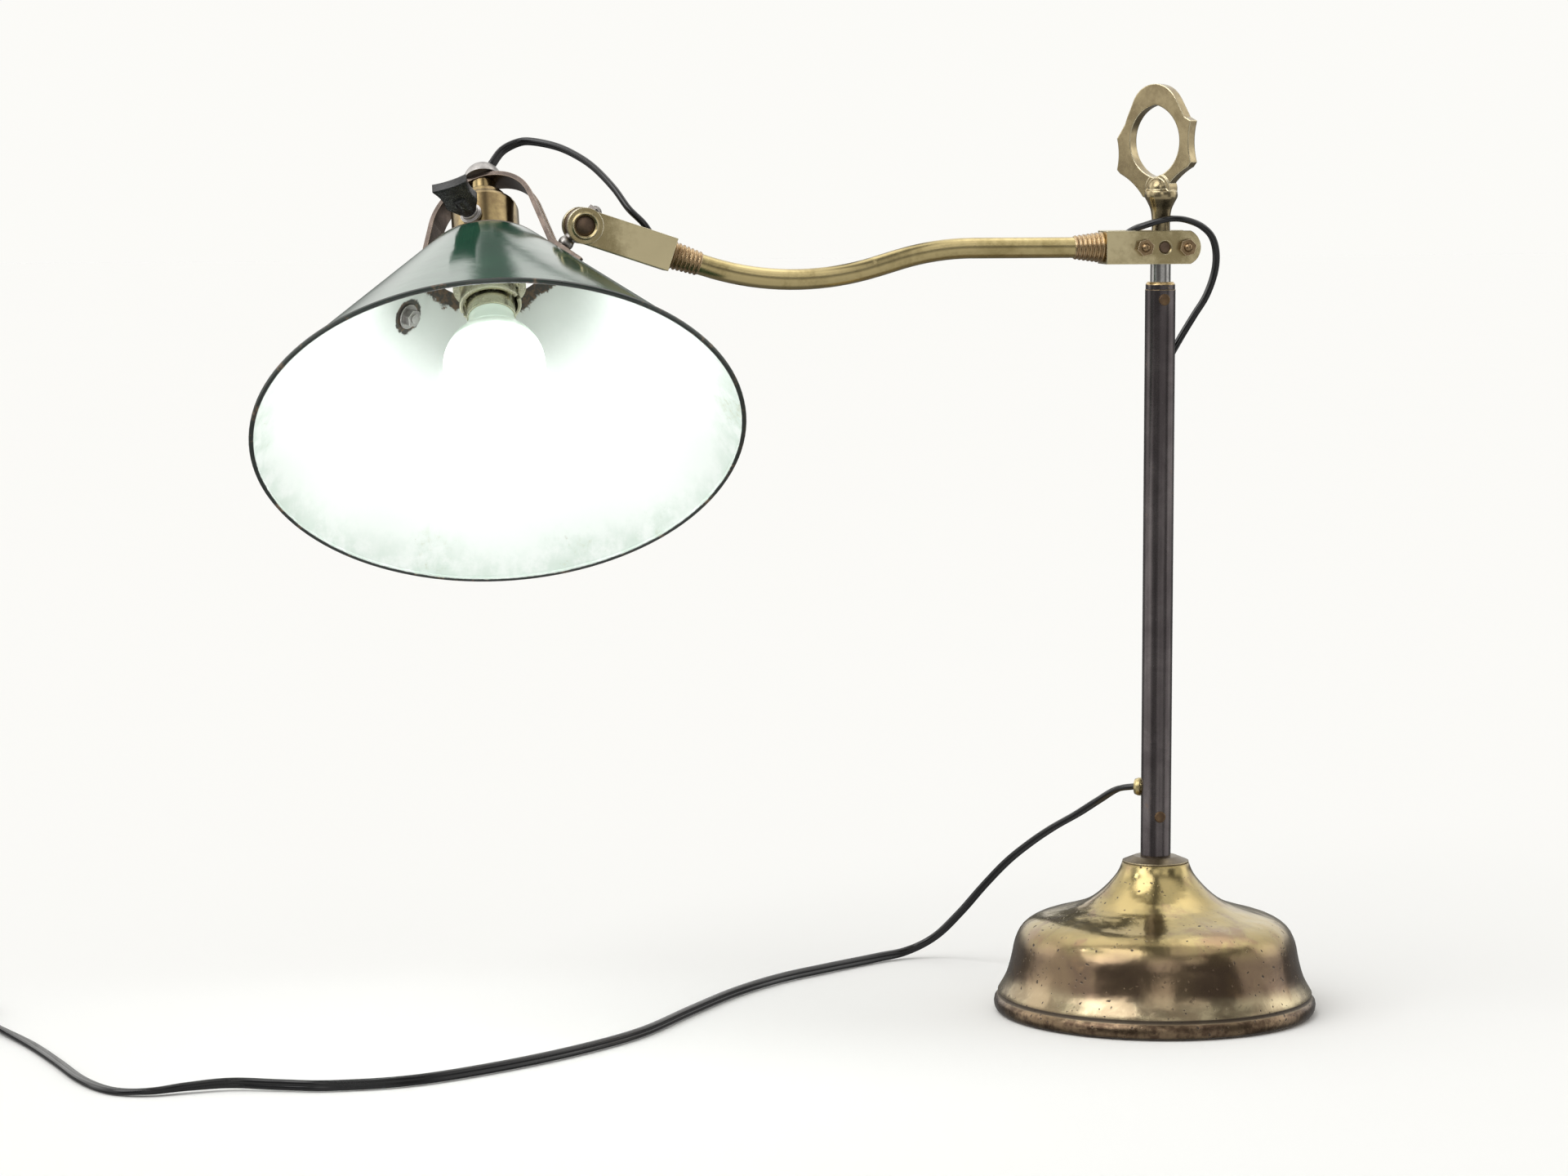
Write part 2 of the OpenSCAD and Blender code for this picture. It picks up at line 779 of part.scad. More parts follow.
module plug_sleeve() {
    color(black)
        at_plug()
            rotate([0, 90, 0])
                difference() {
                    cylinder(r1 = 3.2, r2 = 5, h = sleeve_len);
                    for (k = [0 : 3])
                        translate([0, 0, 4 + 5 * k])
                            rotate_extrude()
                                translate([2.9 + 0.37 * k, 0])
                                    square([3, 1.6]);
                }
}

module plug_body() {
    color(black)
        at_plug()
            translate([sleeve_len, 0, 0])
                linear_extrude(plug_h, center = true)
                    polygon([
                        [0, -8], [plug_len - 14, -plug_w / 2], [plug_len, -plug_w / 2 + 2], [plug_len, plug_w / 2 - 2],
                        [plug_len - 14, plug_w / 2], [0, 8]
                    ]);
}

module plug_pins() {
    color(steel)
        at_plug()
            for (side = [-1, 1])
                translate([sleeve_len + plug_len, side * pin_gap / 2, 0])
                    rotate([0, 90, 0]) {
                        cylinder(r = pin_r, h = pin_len - pin_r);
                        translate([0, 0, pin_len - pin_r])
                            sphere(r = pin_r);
                    }
}

// Pivot ball at the post, pierced by the rod, with a trunnion in each window of the fork

module pivot_ball() {
    color(dark)
        translate([0, 0, pivot_z])
            difference() {
                union() {
                    intersection() {
                        sphere(r = pivot_ball_r, $fn = 64);
                        cylinder(r = pivot_ball_r * 2, h = 2 * ball_flat, center = true);
                    }
                    intersection() {
                        rotate([90, 0, 0])
                            cylinder(r = rear_window_r - run_gap, h = 40, center = true);
                        sphere(r = fork_half - 0.1, $fn = 64);
                    }
                }
                cylinder(r = rod_top_r + run_gap, h = 40, center = true);
            }
}

// Arm body

module fork_bolt_holes() {
    for (x = [-bolt_reach, bolt_reach])
        translate([x, 0, 0])
            rotate([90, 0, 0])
                cylinder(r = bolt_r + slip, h = 60, center = true);
}

module rear_fork() {
    color(brass)
        at_pivot()
            difference() {
                rotate([90, 0, 0])
                    linear_extrude(2 * fork_half, center = true)
                        union() {
                            translate([-rear_tail + fork_h * 0.42, -fork_h / 2])
                                square([rear_len + rear_tail - fork_h * 0.42, fork_h]);
                            intersection() {
                                translate([-rear_tail + fork_h * 0.55, 0])
                                    circle(r = fork_h * 0.55, $fn = 64);
                                translate([-rear_tail - 1, -fork_h / 2])
                                    square([fork_h, fork_h]);
                            }
                        }
                translate([-30, -fork_gap / 2, -fork_h])
                    cube([30 + rear_block, fork_gap, 2 * fork_h]);
                sphere(r = pivot_ball_r + 0.1, $fn = 64);
                rotate([90, 0, 0])
                    cylinder(r = rear_window_r, h = 60, center = true);
                for (side = [-90, 90])
                    rotate([side, 0, 0])
                        translate([0, 0, fork_half - 0.7])
                            cylinder(r1 = rear_window_r, r2 = rear_window_r + 0.8, h = 0.8);
                fork_bolt_holes();
                translate([rear_block - 1, 0, 1.2])
                    rotate([0, 90, 0])
                        cylinder(r = 3.9, h = rear_seat - rear_block + 1);
                translate([rear_seat, 0, 0])
                    rotate([0, 90, 0])
                        cylinder(r = arm_r + weld + slip, h = 10);
            }
}

module fork_bolts() {
    color(bronze)
        at_pivot()
            for (x = [-bolt_reach, bolt_reach])
                translate([x, 0, 0])
                    rotate([90, 0, 0]) {
                        translate([0, 0, -fork_half])
                            cylinder(r = bolt_r, h = 2 * fork_half + fork_nut_h);
                        translate([0, 0, fork_half + fork_nut_h])
                            intersection() {
                                translate([0, 0, -0.6])
                                    sphere(r = 2.1);
                                cylinder(r = bolt_r, h = 4);
                            }
                        translate([0, 0, -fork_half])
                            intersection() {
                                translate([0, 0, 1.6])
                                    sphere(r = 4.4);
                                mirror([0, 0, 1])
                                    cylinder(r = 4.4, h = 4);
                            }
                    }
}

module fork_nuts() {
    color(bronze)
        at_pivot()
            for (x = [-bolt_reach, bolt_reach])
                translate([x, -fork_half, 0])
                    rotate([90, 15, 0])
                        hex_nut(nut_flats, fork_nut_h, bolt_r + slip);
}

// Turned ferrule: stepped beads that shrink towards the arm
module ferrule(big, small) {
    step = ferrule_len / 7;
    rotate([0, 90, 0])
        difference() {
            union() {
                cylinder(r1 = big - 0.8, r2 = small - 0.4, h = ferrule_len);
                for (k = [0 : 6])
                    let (r = big + (small - big) * k / 6)
                        translate([0, 0, step * (k + 0.12)])
                            rotate_extrude()
                                union() {
                                    square([r - 0.4, step * 0.76]);
                                    translate([r - 0.55, step * 0.38])
                                        circle(r = step * 0.34, $fn = 24);
                                }
            }
            translate([0, 0, -1])
                cylinder(r = arm_r + weld + slip, h = ferrule_len + 2);
        }
}

module rear_ferrule() {
    color(bronze)
        at_pivot()
            translate([rear_len, 0, 0])
                ferrule(7, 5.4);
}

// Tube section: the bends draw down a hair, so the straight runs overlap them cleanly
module ring_section(grow) {
    difference() {
        circle(r = arm_r + grow);
        circle(r = arm_bore / 2 - grow);
    }
}

module arm_straight(from, to) {
    translate([from, 0, 0])
        rotate([0, 90, 0])
            linear_extrude(to - from)
                ring_section(weld);
}

module arm_tube() {
    lap = 0.5;
    color(brass)
        at_pivot() {
            arm_straight(rear_seat, rear_run + lap);
            translate([rear_run, 0, -dip_r])
                rotate([0, dip_angle - 90, 0])
                    rotate([90, 0, 0])
                        rotate_extrude(angle = dip_angle, $fn = 96)
                            translate([dip_r, 0])
                                ring_section(0);
            translate([dip_end[0], 0, dip_end[1]])
                rotate([0, dip_angle, 0]) {
                    arm_straight(-lap, mid_run + lap);
                    translate([mid_run, 0, lift_r])
                        rotate([0, 90, 0])
                            rotate([90, 0, 0])
                                rotate_extrude(angle = lift_angle, $fn = 96)
                                    translate([lift_r, 0])
                                        ring_section(0);
                }
            translate([lift_end[0], 0, lift_end[1]])
                rotate([0, -front_rise, 0])
                    arm_straight(-lap, front_run - front_seat);
        }
}

module front_ferrule() {
    color(bronze)
        at_head_ball()
            translate([front_len, 0, 0])
                ferrule(6.3, 5.4);
}

module front_fork() {
    color(brass)
        at_head_ball()
            difference() {
                union() {
                    translate([0, -fork_half, -fork_h / 2])
                        cube([front_len, 2 * fork_half, fork_h]);
                    rotate([90, 0, 0])
                        cylinder(r = cup_r, h = 2 * fork_half + 1, center = true, $fn = 64);
                    rotate([90, 0, 0])
                        intersection() {
                            sphere(r = cup_dome, $fn = 64);
                            cylinder(r = cup_r, h = 40, center = true, $fn = 64);
                        }
                }
                translate([-20, -fork_gap / 2, -fork_h])
                    cube([20 + front_block, fork_gap, 2 * fork_h]);
                sphere(r = head_ball_r + 0.1, $fn = 64);
                rotate([90, 0, 0])
                    cylinder(r = cup_window_r, h = 60, center = true);
                for (side = [-90, 90])
                    rotate([side, 0, 0])
                        translate([0, 0, fork_half + 0.1])
                            cylinder(r1 = cup_window_r, r2 = cup_window_r + 1.6, h = 1.6);
                translate([front_block - 1, 0, 1.2])
                    rotate([0, 90, 0])
                        cylinder(r = 3.9, h = front_seat - front_block + 1);
                translate([front_seat, 0, 0])
                    rotate([0, 90, 0])
                        cylinder(r = arm_r + weld + slip, h = 10);
            }
}

module arm_lead() {
    color(black)
        cord_ref(arm_route, front_in, rear_out, [0, 1, 0]);
}

module post_loop() {
    color(black)
        cord_ref(smooth(post_route, 2), rear_out, -entry_dir, [0, 1, 0]);
}

module head_loop() {
    line = smooth(head_route, 2);
    last = len(line) - 1;
    color(black)
        sweep(
            line, headings(line, head_out, front_in),
            [for (i = [0 : last]) (1 - i / last) * head_turn([0, 1, 0]) + [0, i / last, 0]], flat8()
        );
}

// Ball at the head, turning on the stud

module head_ball_joint() {
    color(dark)
        at_head()
            on_cone(stud_r)
                translate([0, 0, stud_len])
                    difference() {
                        intersection() {
                            sphere(r = head_ball_r, $fn = 64);
                            cylinder(r = 20, h = 2 * (head_ball_r - 0.6), center = true);
                        }
                        cylinder(r = 2.8 + run_gap, h = 40, center = true);
                    }
}

// Head body

module ball_stud() {
    flat = stud_len - head_ball_r + 0.6 - seat_gap;
    color(dark)
        at_head()
            on_cone(stud_r) {
                translate([0, 0, -shade_wall - 1.6])
                    cylinder(r1 = 2.4, r2 = 3.2, h = 1.4);
                translate([0, 0, -shade_wall - 0.5])
                    cylinder(r = 2.2, h = shade_wall + foot_t + 1.5);
                translate([0, 0, foot_t])
                    cylinder(r = 2.8, h = stud_len + head_ball_r + 1.5 - foot_t);
                translate([0, 0, stud_len + head_ball_r + 1.5])
                    intersection() {
                        translate([0, 0, -1.4])
                            sphere(r = 3.1);
                        cylinder(r = 2.8, h = 4);
                    }
                intersection() {
                    translate([0, 0, flat - 3.5])
                        sphere(r = 3.5);
                    translate([0, 0, foot_t])
                        cylinder(r = 4, h = 30);
                }
            }
}

module stud_nut() {
    color(steel)
        at_head()
            on_cone(stud_r)
                translate([0, 0, stud_len + head_ball_r - 0.6 + seat_gap])
                    hex_nut(7, 1.9, 2.8 + slip);
}

// Section of the strap: thin web with a raised bead along each edge
module channel(from, grow) {
    half = strap_w / 2 + grow;
    edge = half - bead_w - grow;
    polygon([
        [from, -half], [bead_t + grow, -half], [bead_t + grow, -edge], [web_t + grow, -edge],
        [web_t + grow, edge], [bead_t + grow, edge], [bead_t + grow, half], [from, half]
    ]);
}

module yoke() {
    foot_len = (foot_end - knee[0]) / sin(shade_slope);
    color(bronze)
        at_head()
            difference() {
                union() {
                    translate([0, 0, arch_c])
                        rotate([0, -leg_splay, 0])
                            rotate([90, 0, 0])
                                rotate_extrude(angle = 180 - 2 * leg_splay, $fn = 96)
                                    translate([arch_r, 0])
                                        channel(0, 0);
                    for (side = [0, 1])
                        mirror([side, 0, 0]) {
                            translate([0, 0, arch_c])
                                rotate([0, -leg_splay, 0])
                                    translate([arch_r, 0, -leg_len - 3])
                                        linear_extrude(leg_len + 3.5)
                                            channel(-weld, weld);
                            on_cone(knee[0])
                                rotate([0, 90, 0])
                                    rotate([0, 0, 180])
                                        linear_extrude(foot_len)
                                            channel(-1, 2 * weld);
                        }
                }
                for (side = [0, 1])
                    mirror([side, 0, 0])
                        on_cone(knee[0])
                            translate([-12, -20, -10])
                                cube([40, 40, 10]);
                translate([0, 0, arch_c])
                    cylinder(r = nipple_r + slip, h = 60);
                both_feet()
                    cylinder(r = bolt_r + slip, h = 20, center = true);
                on_cone(stud_r)
                    cylinder(r = 2.2 + slip, h = 20, center = true);
            }
}

module yoke_bolts() {
    color(steel)
        at_head()
            both_feet() {
                translate([0, 0, -shade_wall - 5])
                    cylinder(r = bolt_r, h = shade_wall + 5 + foot_t);
                translate([0, 0, foot_t])
                    intersection() {
                        translate([0, 0, -0.8])
                            sphere(r = 2.8);
                        cylinder(r = 2.6, h = 4);
                    }
            }
}

module yoke_washers() {
    color(steel)
        at_head()
            both_feet()
                translate([0, 0, -shade_wall - 1.3])
                    difference() {
                        cylinder(r = 5.6, h = 0.8);
                        translate([0, 0, -1])
                            cylinder(r = bolt_r + slip, h = 3);
                    }
}

module yoke_nuts() {
    color(steel)
        at_head()
            both_feet()
                translate([0, 0, -shade_wall - 1.3 - fork_nut_h])
                    hex_nut(nut_flats, fork_nut_h, bolt_r + slip);
}

// Shade: a straight cone of sheet, its mouth rolled into a small bead
module shade() {
    out = [cos(shade_slope), sin(shade_slope)];
    down = [sin(shade_slope), -cos(shade_slope)];
    half = shade_wall / 2;
    roll = 1.2;
    top = [shade_top_r, 0];
    roll_at = [shade_mouth_r - roll, cone_z(shade_mouth_r - roll)] - half * out;
    start = 180 - asin(half / roll);
    color([0.10, 0.25, 0.19])
        at_head()
            difference() {
                rotate_extrude($fn = 128)
                    polygon(concat(
                        [top],
                        [
                            for (k = [0 : 8])
                                let (a = start * (1 - k / 4))
                                    roll_at + roll * (cos(a) * down + sin(a) * out)
                        ],
                        [top - shade_wall * out]
                    ));
                both_feet()
                    cylinder(r = bolt_r + slip, h = 10, center = true);
                on_cone(stud_r)
                    cylinder(r = 2.2 + slip, h = 10, center = true);
            }
}

module dome_nut() {
    color(steel)
        at_head()
            translate([0, 0, arch_top])
                difference() {
                    intersection() {
                        sphere(r = dome_r, $fn = 64);
                        cylinder(r = dome_r * 2, h = dome_r * 2);
                    }
                    translate([0, 0, -1])
                        cylinder(r = nipple_r + slip, h = 4);
                    translate([0, 0, 2.9])
                        sphere(r = 4.3);
                    translate([0, 0, 0.3])
                        rotate([0, outlet_lean, 0])
                            cylinder(r = 2.95, h = 20);
                }
}

module socket_nipple() {
    color(brass)
        at_head()
            translate([0, 0, cap_top - 3])
                difference() {
                    cylinder(r = nipple_r, h = arch_top + 1.2 - cap_top + 3);
                    translate([0, 0, -1])
                        cylinder(r = 3.1, h = 40);
                }
}

module socket_cap() {
    outer = [
        [neck_r, neck_top], [neck_r, cap_top + 0.5], [9.2, cap_top - 0.3], [10, cap_top - 1.2],
        [10.4, cap_top - 3.2], [13.2, cap_top - 6], [cap_r - 0.5, cap_shoulder + 1.6], [cap_r, cap_shoulder], [cap_r, 6.6],
        [cap_r + 0.6, 6.1], [cap_r + 0.6, 3.2], [cap_r, cap_low]
    ];
    inner = [
        [cap_r - 1.1, cap_low], [cap_r - 1.1, cap_shoulder - 0.4], [cap_r - 1.6, cap_shoulder + 1],
        [12.2, cap_top - 6.4], [9, cap_top - 3.6], [nipple_r + slip, cap_top - 3.6],
        [nipple_r + slip, neck_top]
    ];
    color(brass)
        at_head()
            difference() {
                rotate_extrude($fn = 64)
                    polygon(concat(outer, inner));
                translate([0, 0, key_z])
                    rotate([90, 0, 0])
                        cylinder(r = 4 + slip, h = 30);
            }
}

module socket_barrel() {
    color(brass)
        at_head()
            difference() {
                rotate_extrude($fn = 64)
                    polygon([
                        [cap_r - 1.1 - slip, 8.5], [cap_r - 1.1 - slip, 1], [barrel_r, -0.5],
                        [barrel_r, barrel_low + 2.6], [barrel_r + 0.7, barrel_low + 2],
                        [barrel_r + 0.7, barrel_low + 0.4], [barrel_r, barrel_low], [barrel_in, barrel_low],
                        [barrel_in, 8.5]
                    ]);
                for (side = [-1, 1]) {
                    translate([side * barrel_r, 0, barrel_low + 3])
                        cube([6, 2.6, 12], center = true);
                    translate([side * barrel_r, side * 1.8, barrel_low + 7.7])
                        cube([6, 6, 2.6], center = true);
                }
            }
}

module barrel_ring() {
    color(brass)
        at_head()
            translate([0, 0, barrel_low + 10.5])
                difference() {
                    cylinder(r = barrel_r + 3.2, h = 4);
                    translate([0, 0, -1])
                        cylinder(r = barrel_r + slip, h = 6);
                }
}

module socket_insulator() {
    color([0.85, 0.83, 0.78])
        at_head()
            difference() {
                translate([0, 0, -2])
                    cylinder(r = barrel_in - slip, h = 10);
                for (side = [-1, 1])
                    translate([side * 5.5, 0, -3])
                        cylinder(r = 2.2 + slip, h = 12);
            }
}

module contact_plungers() {
    color(brass)
        at_head()
            for (side = [-1, 1])
                translate([side * 5.5, 0, lamp_cap_z])
                    cylinder(r = 2.2, h = 17);
}

module switch_bush() {
    color(steel)
        at_head()
            translate([0, 0, key_z])
                rotate([90, 0, 0])
                    difference() {
                        union() {
                            translate([0, 0, cap_r - 3])
                                cylinder(r = 4, h = key_from - 0.6 - cap_r + 3);
                            translate([0, 0, cap_r + 0.4])
                                cylinder(r = 5, h = 1.4);
                        }
                        cylinder(r = shaft_r + run_gap, h = 40);
                    }
}

module lamp_cap() {
    color(brass)
        at_head()
            translate([0, 0, lamp_cap_z]) {
                mirror([0, 0, 1])
                    difference() {
                        cylinder(r = lamp_cap_r, h = lamp_cap_len);
                        translate([0, 0, 2.5])
                            cylinder(r = lamp_cap_r - 0.7, h = lamp_cap_len);
                    }
                for (side = [-1, 1])
                    translate([side * (lamp_cap_r - 0.3), 0, barrel_low - lamp_cap_z + 7.7])
                        rotate([0, side * 90, 0])
                            cylinder(r = 1, h = 3);
            }
}

module lamp_glass() {
    stem_r = lamp_cap_r - 0.7 - slip;
    neck_z = lamp_cap_z - lamp_cap_len + 4;
    ball_z = neck_z - glass_drop - 4;
    out = smooth([
        [stem_r, neck_z], [stem_r, neck_z - 5], [stem_r + 1.2, neck_z - 8.5],
        [bulb_r * cos(52), ball_z + bulb_r * sin(52)]
    ], 4);
    arc = [for (a = [46 : -8 : -82]) [bulb_r * cos(a), ball_z + bulb_r * sin(a)]];
    skin = concat(out, arc);
    lining = [
        for (i = [0 : len(skin) - 1])
            let (t = along(skin, i))
                skin[i] + glass_t * [t[1], -t[0]]
    ];
    color([0.95, 0.93, 0.88])
        at_head()
            rotate_extrude($fn = 64)
                polygon(concat(
                    skin, [[0, ball_z - bulb_r], [0, ball_z - bulb_r + glass_t]],
                    [for (i = [len(lining) - 1 : -1 : 0]) lining[i]]
                ));
}

module head_lead() {
    way = smooth([
        [0, 0, 19], [0, 0, 30], [0, 0, arch_top - 5], [0.4, 0, arch_top + 0.2], [2.4, 0, arch_top + 4.2], lead_out
    ], 2);
    line = [for (p = way) head_pt(p)];
    color(black)
        cord_ref(line, head_turn([0, 0, 1]), head_out, head_turn([0, 1, 0]));
}

// Switch key

module key_shaft() {
    color(steel)
        at_head()
            translate([0, 0, key_z])
                rotate([90, 0, 0])
                    translate([0, 0, 6.5])
                        cylinder(r = shaft_r, h = key_from + 8 - 6.5);
}

module switch_key() {
    color(black)
        at_head()
            translate([0, -key_from, key_z])
                difference() {
                    union() {
                        translate([0, 0, -key_t / 2])
                            linear_extrude(key_t)
                                difference() {
                                    polygon([
                                        [-3.6, 0], [3.6, 0], [7.4, -6.5], [7.2, -12], [key_half, -key_len],
                                        [-key_half, -key_len], [-7.2, -12], [-7.4, -6.5]
                                    ]);
                                    for (side = [-1, 1])
                                        translate([side * 27.2, -12.5])
                                            circle(r = 20.4, $fn = 96);
                                    translate([0, -key_len - 39.2])
                                        circle(r = 40, $fn = 96);
                                }
                        rotate([90, 0, 0])
                            cylinder(r = 3.6, h = 10);
                    }
                    translate([0, 1, 0])
                        rotate([90, 0, 0])
                            cylinder(r = shaft_r + slip, h = 9);
                }
}

base_shell();
base_plate();
plate_screws();
ballast_weight();
base_felt();
base_collar();
tie_stud();
tie_washer();
tie_nut();
post_spigot();
post_tube();
post_bush();
post_rivets();
neck_rod();
ring_handle();
cord_grommet();
post_lead();
mains_cord();
mains_coil();
coil_tie();
plug_sleeve();
plug_body();
plug_pins();
pivot_ball();
rear_fork();
fork_bolts();
fork_nuts();
rear_ferrule();
arm_tube();
front_ferrule();
front_fork();
arm_lead();
post_loop();
head_loop();
head_ball_joint();
ball_stud();
stud_nut();
yoke();
yoke_bolts();
yoke_washers();
yoke_nuts();
shade();
dome_nut();
socket_nipple();
socket_cap();
socket_barrel();
barrel_ring();
socket_insulator();
contact_plungers();
switch_bush();
lamp_cap();
lamp_glass();
head_lead();
key_shaft();
switch_key();
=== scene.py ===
import bpy
import numpy as np
from mathutils import Matrix, Vector


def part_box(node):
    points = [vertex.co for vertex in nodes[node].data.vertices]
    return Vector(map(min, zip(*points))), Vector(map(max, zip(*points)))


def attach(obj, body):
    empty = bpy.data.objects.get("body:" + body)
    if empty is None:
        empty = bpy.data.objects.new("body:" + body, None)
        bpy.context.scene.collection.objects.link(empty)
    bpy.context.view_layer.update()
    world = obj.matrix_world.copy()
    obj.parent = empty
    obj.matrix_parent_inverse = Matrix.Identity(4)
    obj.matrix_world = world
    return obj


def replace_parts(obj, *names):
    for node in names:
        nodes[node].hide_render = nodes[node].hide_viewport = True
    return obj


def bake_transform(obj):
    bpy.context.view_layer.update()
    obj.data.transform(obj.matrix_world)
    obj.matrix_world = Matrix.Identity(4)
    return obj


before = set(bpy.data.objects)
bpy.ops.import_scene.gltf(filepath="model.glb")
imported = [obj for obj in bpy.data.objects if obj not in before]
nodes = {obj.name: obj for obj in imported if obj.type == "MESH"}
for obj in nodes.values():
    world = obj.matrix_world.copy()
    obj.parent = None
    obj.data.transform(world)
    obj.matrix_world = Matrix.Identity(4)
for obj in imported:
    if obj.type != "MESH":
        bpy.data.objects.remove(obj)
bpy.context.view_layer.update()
scene = bpy.context.scene
scene.view_settings.view_transform = "Standard"
print("frame:", len(nodes), "nodes")

# The camera stands a little left of straight on and looks slightly down
cameraSet = {
    "place": (-0.60024, -1.99040, 0.41020),
    "right": (0.9781476, -0.20791169, 0.0),
    "up": (0.02115519, 0.09952733, 0.99480992),
    "lens": 103.125,
    "sensor": 36.0,
    "clip": (0.05, 40),
}


def makeCamera(d):
    data = bpy.data.cameras.new("camera")
    data.sensor_fit = "HORIZONTAL"
    data.sensor_width = d["sensor"]
    data.lens = d["lens"]
    data.clip_start, data.clip_end = d["clip"]
    right, up = Vector(d["right"]), Vector(d["up"])
    turn = Matrix((right, up, right.cross(up))).transposed().to_4x4()
    obj = bpy.data.objects.new("camera", data)
    obj.matrix_world = Matrix.Translation(d["place"]) @ turn
    scene.collection.objects.link(obj)
    scene.camera = obj


makeCamera(cameraSet)
print("camera placed")

# Head frame: its zero is the middle of the shade's top edge, up is the shade's axis
headFrame = {
    "origin": np.array((-0.30964147, 0.01775224, 0.35156558)),
    "x": np.array((0.86213, -0.409448, 0.298469)),
    "y": np.array((0.504075, 0.633359, -0.587167)),
    "up": np.array((0.051377, 0.656665, 0.75243)),
}


def inHead(points):
    # place in the shared frame, in metres, of points given in the head frame in millimetres
    p = np.asarray(points, float) / 1000
    d = headFrame
    return d["origin"] + p[..., :1] * d["x"] + p[..., 1:2] * d["y"] + p[..., 2:3] * d["up"]


def unit(v):
    return v / np.linalg.norm(v, axis=-1, keepdims=True)


def smoothRoute(points, steps):
    # Catmull-Rom line: every span is a cubic between two points, and its slope at a point is half the
    # chord from the point before to the point after
    p = np.asarray(points, float)
    q = np.vstack([p[:1], p, p[-1:]])
    t = (np.arange(steps) / steps)[None, :, None]
    a, b, c, d = (q[k : len(q) - 3 + k][:, None] for k in range(4))
    square, cube = a - 2.5 * b + 2 * c - d / 2, 1.5 * (b - c) + (d - a) / 2
    spans = b + (c - a) * t / 2 + square * t**2 + cube * t**3
    return np.vstack([spans.reshape(-1, p.shape[1]), p[-1:]])


def ringPiece(name, rings, along):
    # skin over closed rings: quads join each ring to the next, and one flat face closes each end
    rows, cols = rings.shape[:2]
    at = np.arange(rows * cols).reshape(rows, cols)
    after = np.roll(at, -1, axis=1)
    quads = np.stack([at[:-1], after[:-1], after[1:], at[1:]], axis=-1).reshape(-1, 4)
    mesh = bpy.data.meshes.new(name)
    mesh.from_pydata(rings.reshape(-1, 3), [], quads.tolist() + [at[0][::-1].tolist(), at[-1].tolist()])
    u = np.arange(cols)[None, :, None] / cols + np.array([0, 1, 1, 0]) / cols
    v = np.stack([along[:-1], along[:-1], along[1:], along[1:]], axis=-1)[:, None, :]
    uv = np.stack(np.broadcast_arrays(u, v), axis=-1).reshape(-1, 2)
    ends = np.repeat([[0.5, along[0]], [0.5, along[-1]]], cols, axis=0)
    layer = mesh.uv_layers.new(name="run")
    layer.data.foreach_set("uv", np.vstack([uv, ends]).astype(np.float32).ravel())
    mesh.polygons.foreach_set("use_smooth", np.arange(len(mesh.polygons)) < len(quads))
    mesh.update()
    obj = bpy.data.objects.new(name, mesh)
    scene.collection.objects.link(obj)
    return obj


# Two round cores side by side under one black sheath, 4.8 by 2.8 mm
cordForm = {"core": 0.0014, "spread": 0.0010, "around": 28, "width": 0.0048}


def twinSection(d):
    # polar radius of two overlapping circles: spread * |cos a| + sqrt(core^2 - (spread * sin a)^2)
    a = np.linspace(0, 2 * np.pi, d["around"], endpoint=False)
    r = d["spread"] * np.abs(np.cos(a)) + np.sqrt(d["core"] ** 2 - (d["spread"] * np.sin(a)) ** 2)
    return np.stack([r * np.cos(a), r * np.sin(a)], axis=1)


def lengthsOf(route):
    return np.concatenate([[0], np.cumsum(np.linalg.norm(np.diff(route, axis=0), axis=1))])


def nearEnds(rows, share=0.02):
    # one more row just inside each end, so that the end faces don't bend the shading of the skin
    after, before = rows[:1] + share * (rows[1:2] - rows[:1]), rows[-1:] + share * (rows[-2:-1] - rows[-1:])
    return np.concatenate([rows[:1], after, rows[1:-1], before, rows[-1:]])


def sweepCord(name, route, sides, first=None, last=None):
    # each ring is the section laid across the run: point + x * wide side + y * thin side
    run = unit(np.gradient(route, axis=0))
    run[0] = run[0] if first is None else unit(np.asarray(first, float))
    run[-1] = run[-1] if last is None else unit(np.asarray(last, float))
    sides = np.broadcast_to(sides, route.shape)
    wide = unit(sides - (sides * run).sum(1, keepdims=True) * run)
    thin = np.cross(run, wide)
    section = twinSection(cordForm)
    rings = route[:, None] + section[None, :, :1] * wide[:, None] + section[None, :, 1:] * thin[:, None]
    return ringPiece(name, nearEnds(rings), nearEnds(lengthsOf(route)))


